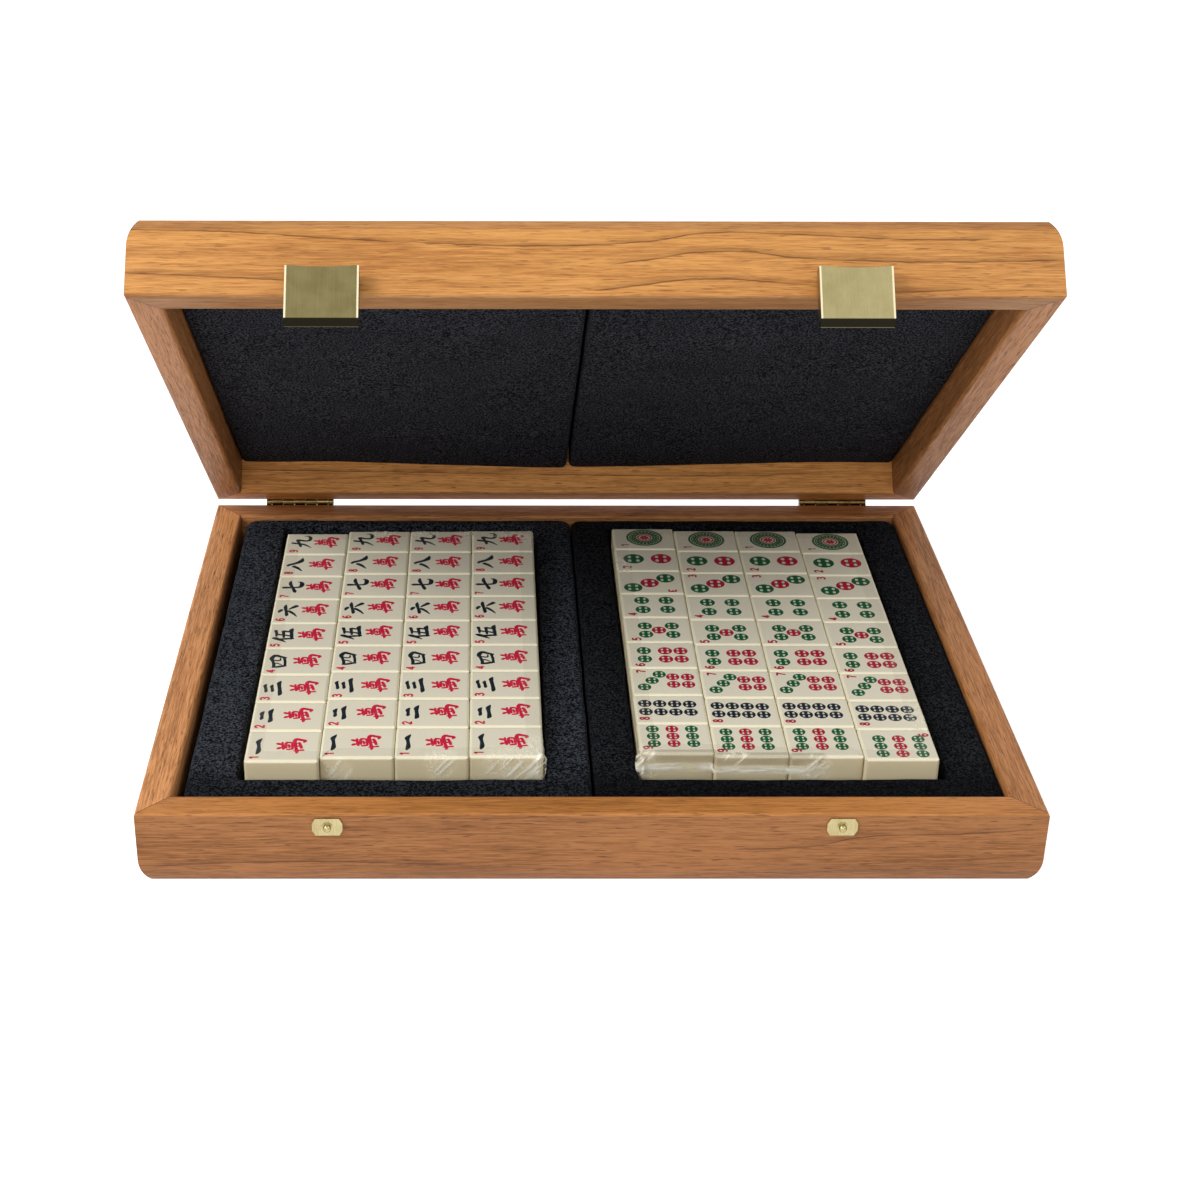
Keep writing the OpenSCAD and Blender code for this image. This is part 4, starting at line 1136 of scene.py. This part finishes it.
# Where the film is crumpled, and so where white crease highlights are painted: a point in mm, how far it
# reaches and how strongly
CRUMPLES = {
    "left": (
        ((-18.5, -110, 36), 15, 1.0), ((-24, -102, 39.6), 12, 0.6), ((-28, 95, 39.6), 17, 0.7),
        ((-92, 98, 39), 8, 0.8), ((-71, 98, 39), 10, 0.9), ((-52, 98, 39), 8, 0.8),
        ((-101.5, -112, 33), 7, 0.8), ((-60, -110, 36), 8, 0.7), ((-32, -110, 33), 13, 0.9),
    ),
    "right": (
        ((20.8, -108, 34), 10, 1.0), ((92, -109, 33), 8, 1.0), ((60, -109, 39), 7, 0.4),
        ((23, 60, 38), 14, 0.4), ((141, -80, 38), 16, 0.4),
    ),
}
# The corner where a fold of film stands off each block, and how far
FIN = {"left": ((-18.3, -109.9), 1.8), "right": ((20.8, -107.4), 2.6)}
# How far along the front of the right block the film carries a band: painted shade above a painted
# highlight streak
BAND = (20.8, 97.0)
FILM_LOW, FILM_THICK, FILM_OVER = 16.0, 0.05, 7.0
# How far the film stands off the tiles: at least, in general, unevenly and where it is crumpled
FILM_LEAST, FILM_OFF, FILM_UNEVEN, FILM_LOOSE = 0.06, 0.1, 0.1, 0.3
FIN_REACH = 3.2


def block_face(side, x, back):
    """Y of a block's front or back at x, with the slip of its columns."""
    columns = [int((near - BLOCK_X[side]) / PITCH_X + COLUMNS / 2) for near in (x - 0.8, x + 0.8)]
    slips = [SLIP[side][min(max(column, 0), COLUMNS - 1)] for column in columns]
    return BLOCK_Y + (BLOCK_HALF[1] + max(slips) if back else min(slips) - BLOCK_HALF[1])


def film_path(side, step=0.9, corner=1.4):
    """Points (x, y) and outward directions round a block."""
    left, right = BLOCK_X[side] - BLOCK_HALF[0], BLOCK_X[side] + BLOCK_HALF[0]
    path = []

    def straight(first, last, out):
        count = int(abs(last - first) / step)
        for k in range(count):
            along = mix(first, last, k / count)
            if out[0]:
                path.append((right if out[0] > 0 else left, along, *out))
            else:
                path.append((along, block_face(side, along, out[1] > 0), *out))

    def turn(x, y, start):
        for k in range(6):
            angle = math.radians(start + 18 * k)
            out = (math.cos(angle), math.sin(angle))
            path.append((x + corner * out[0], y + corner * out[1], *out))

    faces = {(x, back): block_face(side, x, back) for x in (left, right) for back in (False, True)}
    straight(left + corner, right - corner, (0, -1))
    turn(right - corner, faces[right, False] + corner, -90)
    straight(faces[right, False] + corner, faces[right, True] - corner, (1, 0))
    turn(right - corner, faces[right, True] - corner, 0)
    straight(right - corner, left + corner, (0, 1))
    turn(left + corner, faces[left, True] - corner, 90)
    straight(faces[left, True] - corner, faces[left, False] + corner, (-1, 0))
    turn(left + corner, faces[left, False] + corner, 180)
    return path


def film_profile(bend=1.4):
    """Steps (inward, height, share of the push that goes up) from the foot over the top edge."""
    low, high = FILM_LOW, TILE_TOP - bend
    steps = [(0.0, mix(low, high, k / 14), 0.0) for k in range(15)]
    steps += [
        (bend - bend * math.cos(a), high + bend * math.sin(a), math.sin(a))
        for a in (math.radians(18 * k) for k in range(1, 6))
    ]
    return steps + [(mix(bend, FILM_OVER, k / 6), TILE_TOP, 1.0) for k in range(1, 7)]


def crumpled(side, point):
    """How crumpled the film is at a point, 0 to 1."""
    return max(s * (1 - eased(0.25 * r, r, math.dist(point, at))) for at, r, s in CRUMPLES[side])


def film_skins(side, path, profile):
    """Points of the film's inner and outer skin, each with its crumple and its band."""
    corner, fin = FIN[side]
    points, crumples, bands = [], [], []
    for skin in (0.0, FILM_THICK):
        for inward, height, upward in profile:
            for x, y, out_x, out_y in path:
                at_x = BLOCK_X[side] + (x - BLOCK_X[side]) * (1 - inward / BLOCK_HALF[0])
                at_y = BLOCK_Y + (y - BLOCK_Y) * (1 - inward / BLOCK_HALF[1])
                seed = Vector((at_x, at_y, height))
                loose = crumpled(side, (at_x, at_y, height))
                uneven = FILM_UNEVEN * (0.5 + noise.noise(seed / 7))
                creased = FILM_LOOSE * loose * (0.5 + noise.noise(seed / 3))
                push = max(FILM_OFF + skin + uneven + creased, FILM_LEAST + skin)
                near = max(0.0, 1 - math.dist((x, y), corner) / FIN_REACH)
                stand = fin * near ** 1.5 * eased(24, 34, height) * (1 - upward)
                level = (push + stand) * math.cos(upward * math.pi / 2)
                points.append((at_x + out_x * level, at_y + out_y * level, height + push * upward))
                crumples.append(loose)
                in_band = side == "right" and out_y < -0.5 and inward < 2.5
                bands.append(1 - eased(BAND[1] - 2, BAND[1] + 1, x) if in_band else 0.0)
    return points, crumples, bands


def film_wrap(side):
    """Points, faces, and the crumple and band of each point of the film round one block."""
    path, profile = film_path(side), film_profile()
    points, crumples, bands = film_skins(side, path, profile)
    ring, rows = len(path), len(profile)
    faces = []

    def node(skin, row, k):
        return (skin * rows + row) * ring + k % ring

    for k in range(ring):
        for row in range(rows - 1):
            up = row + 1
            faces.append((node(1, row, k), node(1, row, k + 1), node(1, up, k + 1), node(1, up, k)))
            faces.append((node(0, row, k), node(0, up, k), node(0, up, k + 1), node(0, row, k + 1)))
        faces.append((node(0, 0, k), node(0, 0, k + 1), node(1, 0, k + 1), node(1, 0, k)))
        top = rows - 1
        faces.append((node(1, top, k), node(1, top, k + 1), node(0, top, k + 1), node(0, top, k)))
    return points, faces, crumples, bands


def film_group():
    """Clear film: almost unseen where it lies flat, painted white highlights along creases and glints,
    and in the band painted shade above a painted highlight streak.
    """
    nodes, given, close = new_group(
        "clear film",
        {
            "Vector": ORIGIN, "Crumple": 0.0, "Band": 0.0,
            "Highlight": rgb(252, 248, 232), "Band shade": rgb(150, 140, 116), "Clear alpha": 0.03,
        },
        ("Color", "Alpha", "Height"),
    )
    where, band = given["Vector"], given["Band"]
    x, y, z = nodes.axes(where)
    folds = nodes.noise(where, (0.13, 0.11, 0.13), 0.5, 0.5, 0.3)
    ridge = nodes.spread(nodes.size(nodes.ramp(folds, 2.0, -1.0)), 0.01, 0.04, 0.6, 0.0)
    slant = nodes.put("ShaderNodeCombineXYZ", {
        "X": nodes.times(nodes.ramp(z, -0.9, x), 0.42),
        "Y": nodes.times(y, 0.3),
        "Z": nodes.times(nodes.math("ADD", x, z), 0.04),
    })[0]
    glints = nodes.spread(nodes.noise(slant, 1.0, 1.0), 0.53, 0.64)
    veil = nodes.spread(nodes.noise(where, 0.25), 0.4, 0.7, 0.04, 0.2)
    # Where the film is crumpled, creases and glints are painted white as highlights
    creased = nodes.times(given["Crumple"], nodes.ramp(nodes.most(ridge, glints), 0.7, veil))
    # The band over the fronts: painted shade in its upper part, a painted highlight streak under it
    streak = nodes.times(nodes.spread(z, 30.6, 33.0), nodes.spread(z, 33.4, 35.8, 1.0, 0.0))
    patchy = nodes.spread(nodes.noise(where, (0.09, 0.3, 0.5)), 0.35, 0.6, 0.15, 0.8)
    streak = nodes.times(streak, patchy, band)
    # Painted shade: a dim greyish veil over the upper part of the band
    band_shade = nodes.times(nodes.spread(z, 33.4, 37.6, 0.05, 0.17), band)
    painted_highlights = nodes.most(creased, streak)
    alpha = nodes.most(painted_highlights, band_shade, given["Clear alpha"])
    share = nodes.clamp(nodes.math("DIVIDE", painted_highlights, nodes.most(band_shade, 0.02)))
    return close(Color=nodes.blend(share, given["Band shade"], given["Highlight"]), Alpha=alpha, Height=folds)


def add_film():
    """The shrink film round both blocks, over the top edges by a few millimetres."""
    material, nodes, shader = new_material("clear_film")
    crumple, band = [
        nodes.put("ShaderNodeAttribute", attribute_name=name)["Fac"] for name in ("crumple", "band")
    ]
    film = nodes.use(film_group(), Vector=nodes.millimetres(), Crumple=crumple, Band=band)
    nodes.give(shader, Base_Color=film["Color"], Alpha=film["Alpha"], Roughness=0.18)
    nodes.give(shader, Normal=nodes.bump(film["Height"], 0.0004, 0.5))
    for side in SIDES:
        points, faces, crumples, bands = film_wrap(side)
        piece = add_piece(side + "_shrink_film", points, faces, "base", "film", material, smooth=True)
        for name, shares in (("crumple", crumples), ("band", bands)):
            piece.data.attributes.new(name, "FLOAT", "POINT").data.foreach_set("value", shares)
        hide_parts(side + "_film")


# ---------------------------------------------------------------- camera, light and floor

WHITE = (1, 1, 1, 1)


def set_camera():
    """The photograph's camera, solved from the case's corners, edges and clasps."""
    pitch, yaw, roll = 0.46989, -0.0063584, 0.0036081
    flat_right = Vector((math.cos(yaw), math.sin(yaw), 0))
    level = Vector((-math.sin(yaw), math.cos(yaw), 0))
    up = Vector((0, 0, 1))
    ahead = math.cos(pitch) * level - math.sin(pitch) * up
    lifted = math.sin(pitch) * level + math.cos(pitch) * up
    side = math.cos(roll) * flat_right + math.sin(roll) * lifted
    top = math.cos(roll) * lifted - math.sin(roll) * flat_right
    camera = add_object("camera", bpy.data.cameras.new("camera"))
    turn = Matrix((side, top, -ahead)).transposed()
    camera.matrix_world = Matrix.Translation((-0.04276, -0.81400, 0.48413)) @ turn.to_4x4()
    camera.data.lens, camera.data.sensor_width = 61.385, 36
    camera.data.shift_x, camera.data.shift_y = 0.08728, -0.02903
    camera.data.clip_start = 0.01
    bpy.context.scene.camera = camera


def seen_directly(nodes):
    """1 for rays that show the background itself: from the camera, in gloss or through glass."""
    path = nodes.put("ShaderNodeLightPath")
    return nodes.most(*[path[f"Is {way} Ray"] for way in ("Camera", "Glossy", "Transmission")])


def set_world():
    """A soft white light all round, behind a background that shows plain white."""
    world = bpy.data.worlds.new("studio")
    bpy.context.scene.world = world
    world.use_nodes = True
    world.node_tree.nodes.clear()
    nodes = Nodes(world.node_tree)
    soft, plain = [
        nodes.put("ShaderNodeBackground", {"Color": WHITE, "Strength": strength})[0]
        for strength in (0.42, 1.0)
    ]
    both = nodes.put("ShaderNodeMixShader", {0: seen_directly(nodes), 1: soft, 2: plain})[0]
    nodes.put("ShaderNodeOutputWorld", {"Surface": both})


def lamp(name, place_at, aim, width, height, watts):
    """A soft panel of light."""
    data = bpy.data.lights.new(name, "AREA")
    data.shape = "RECTANGLE"
    data.size, data.size_y = width, height
    data.energy = watts
    made = add_object(name, data)
    made.location = place_at
    made.rotation_euler = (Vector(aim) - Vector(place_at)).to_track_quat("-Z", "Y").to_euler()


def set_lights():
    lamp("key_panel", (-1.3, -0.65, 1.2), (0, 0, 0.08), 0.9, 0.9, 25.0)
    lamp("front_panel", (-0.1, -1.55, 0.8), (0, 0, 0.1), 1.0, 0.4, 6.0)
    lamp("right_panel", (1.1, -0.5, 1.32), (0, 0, 0.08), 0.9, 0.9, 7.0)


def lay_floor():
    """A plain pale floor that shows white where it is lit and keeps the shadow."""
    mesh = bpy.data.meshes.new("floor")
    size, low = 6.0, -0.0002
    corners = [(-size, -size, low), (size, -size, low), (size, size, low), (-size, size, low)]
    mesh.from_pydata(corners, [], [(0, 1, 2, 3)])
    floor = add_object("floor", mesh)
    material, nodes, shader = new_material("floor_paper")
    nodes.give(shader, Base_Color=(0.86, 0.86, 0.86, 1), Roughness=0.9, Specular_IOR_Level=0.0)
    glow = nodes.times(seen_directly(nodes), 0.6)
    nodes.give(shader, Emission_Color=WHITE, Emission_Strength=glow)
    mesh.materials.append(material)


# ---------------------------------------------------------------- the whole scene

bpy.context.scene.view_settings.view_transform = "Standard"
set_camera()
set_world()
set_lights()
lay_floor()
dress_wood()
dress_metal_and_tiles()
# The right tray's foam gets darker colours than the left's: painted shade
add_foam_tray("left", rgb(5, 6, 8), rgb(64, 68, 75))
add_foam_tray("right", rgb(3, 3, 5), rgb(38, 40, 44))
for pad_side in ("left", "right"):
    add_lid_pad(pad_side, rgb(3, 3, 5), rgb(62, 64, 72))
add_characters()
add_circles()
add_rosettes()
add_film()
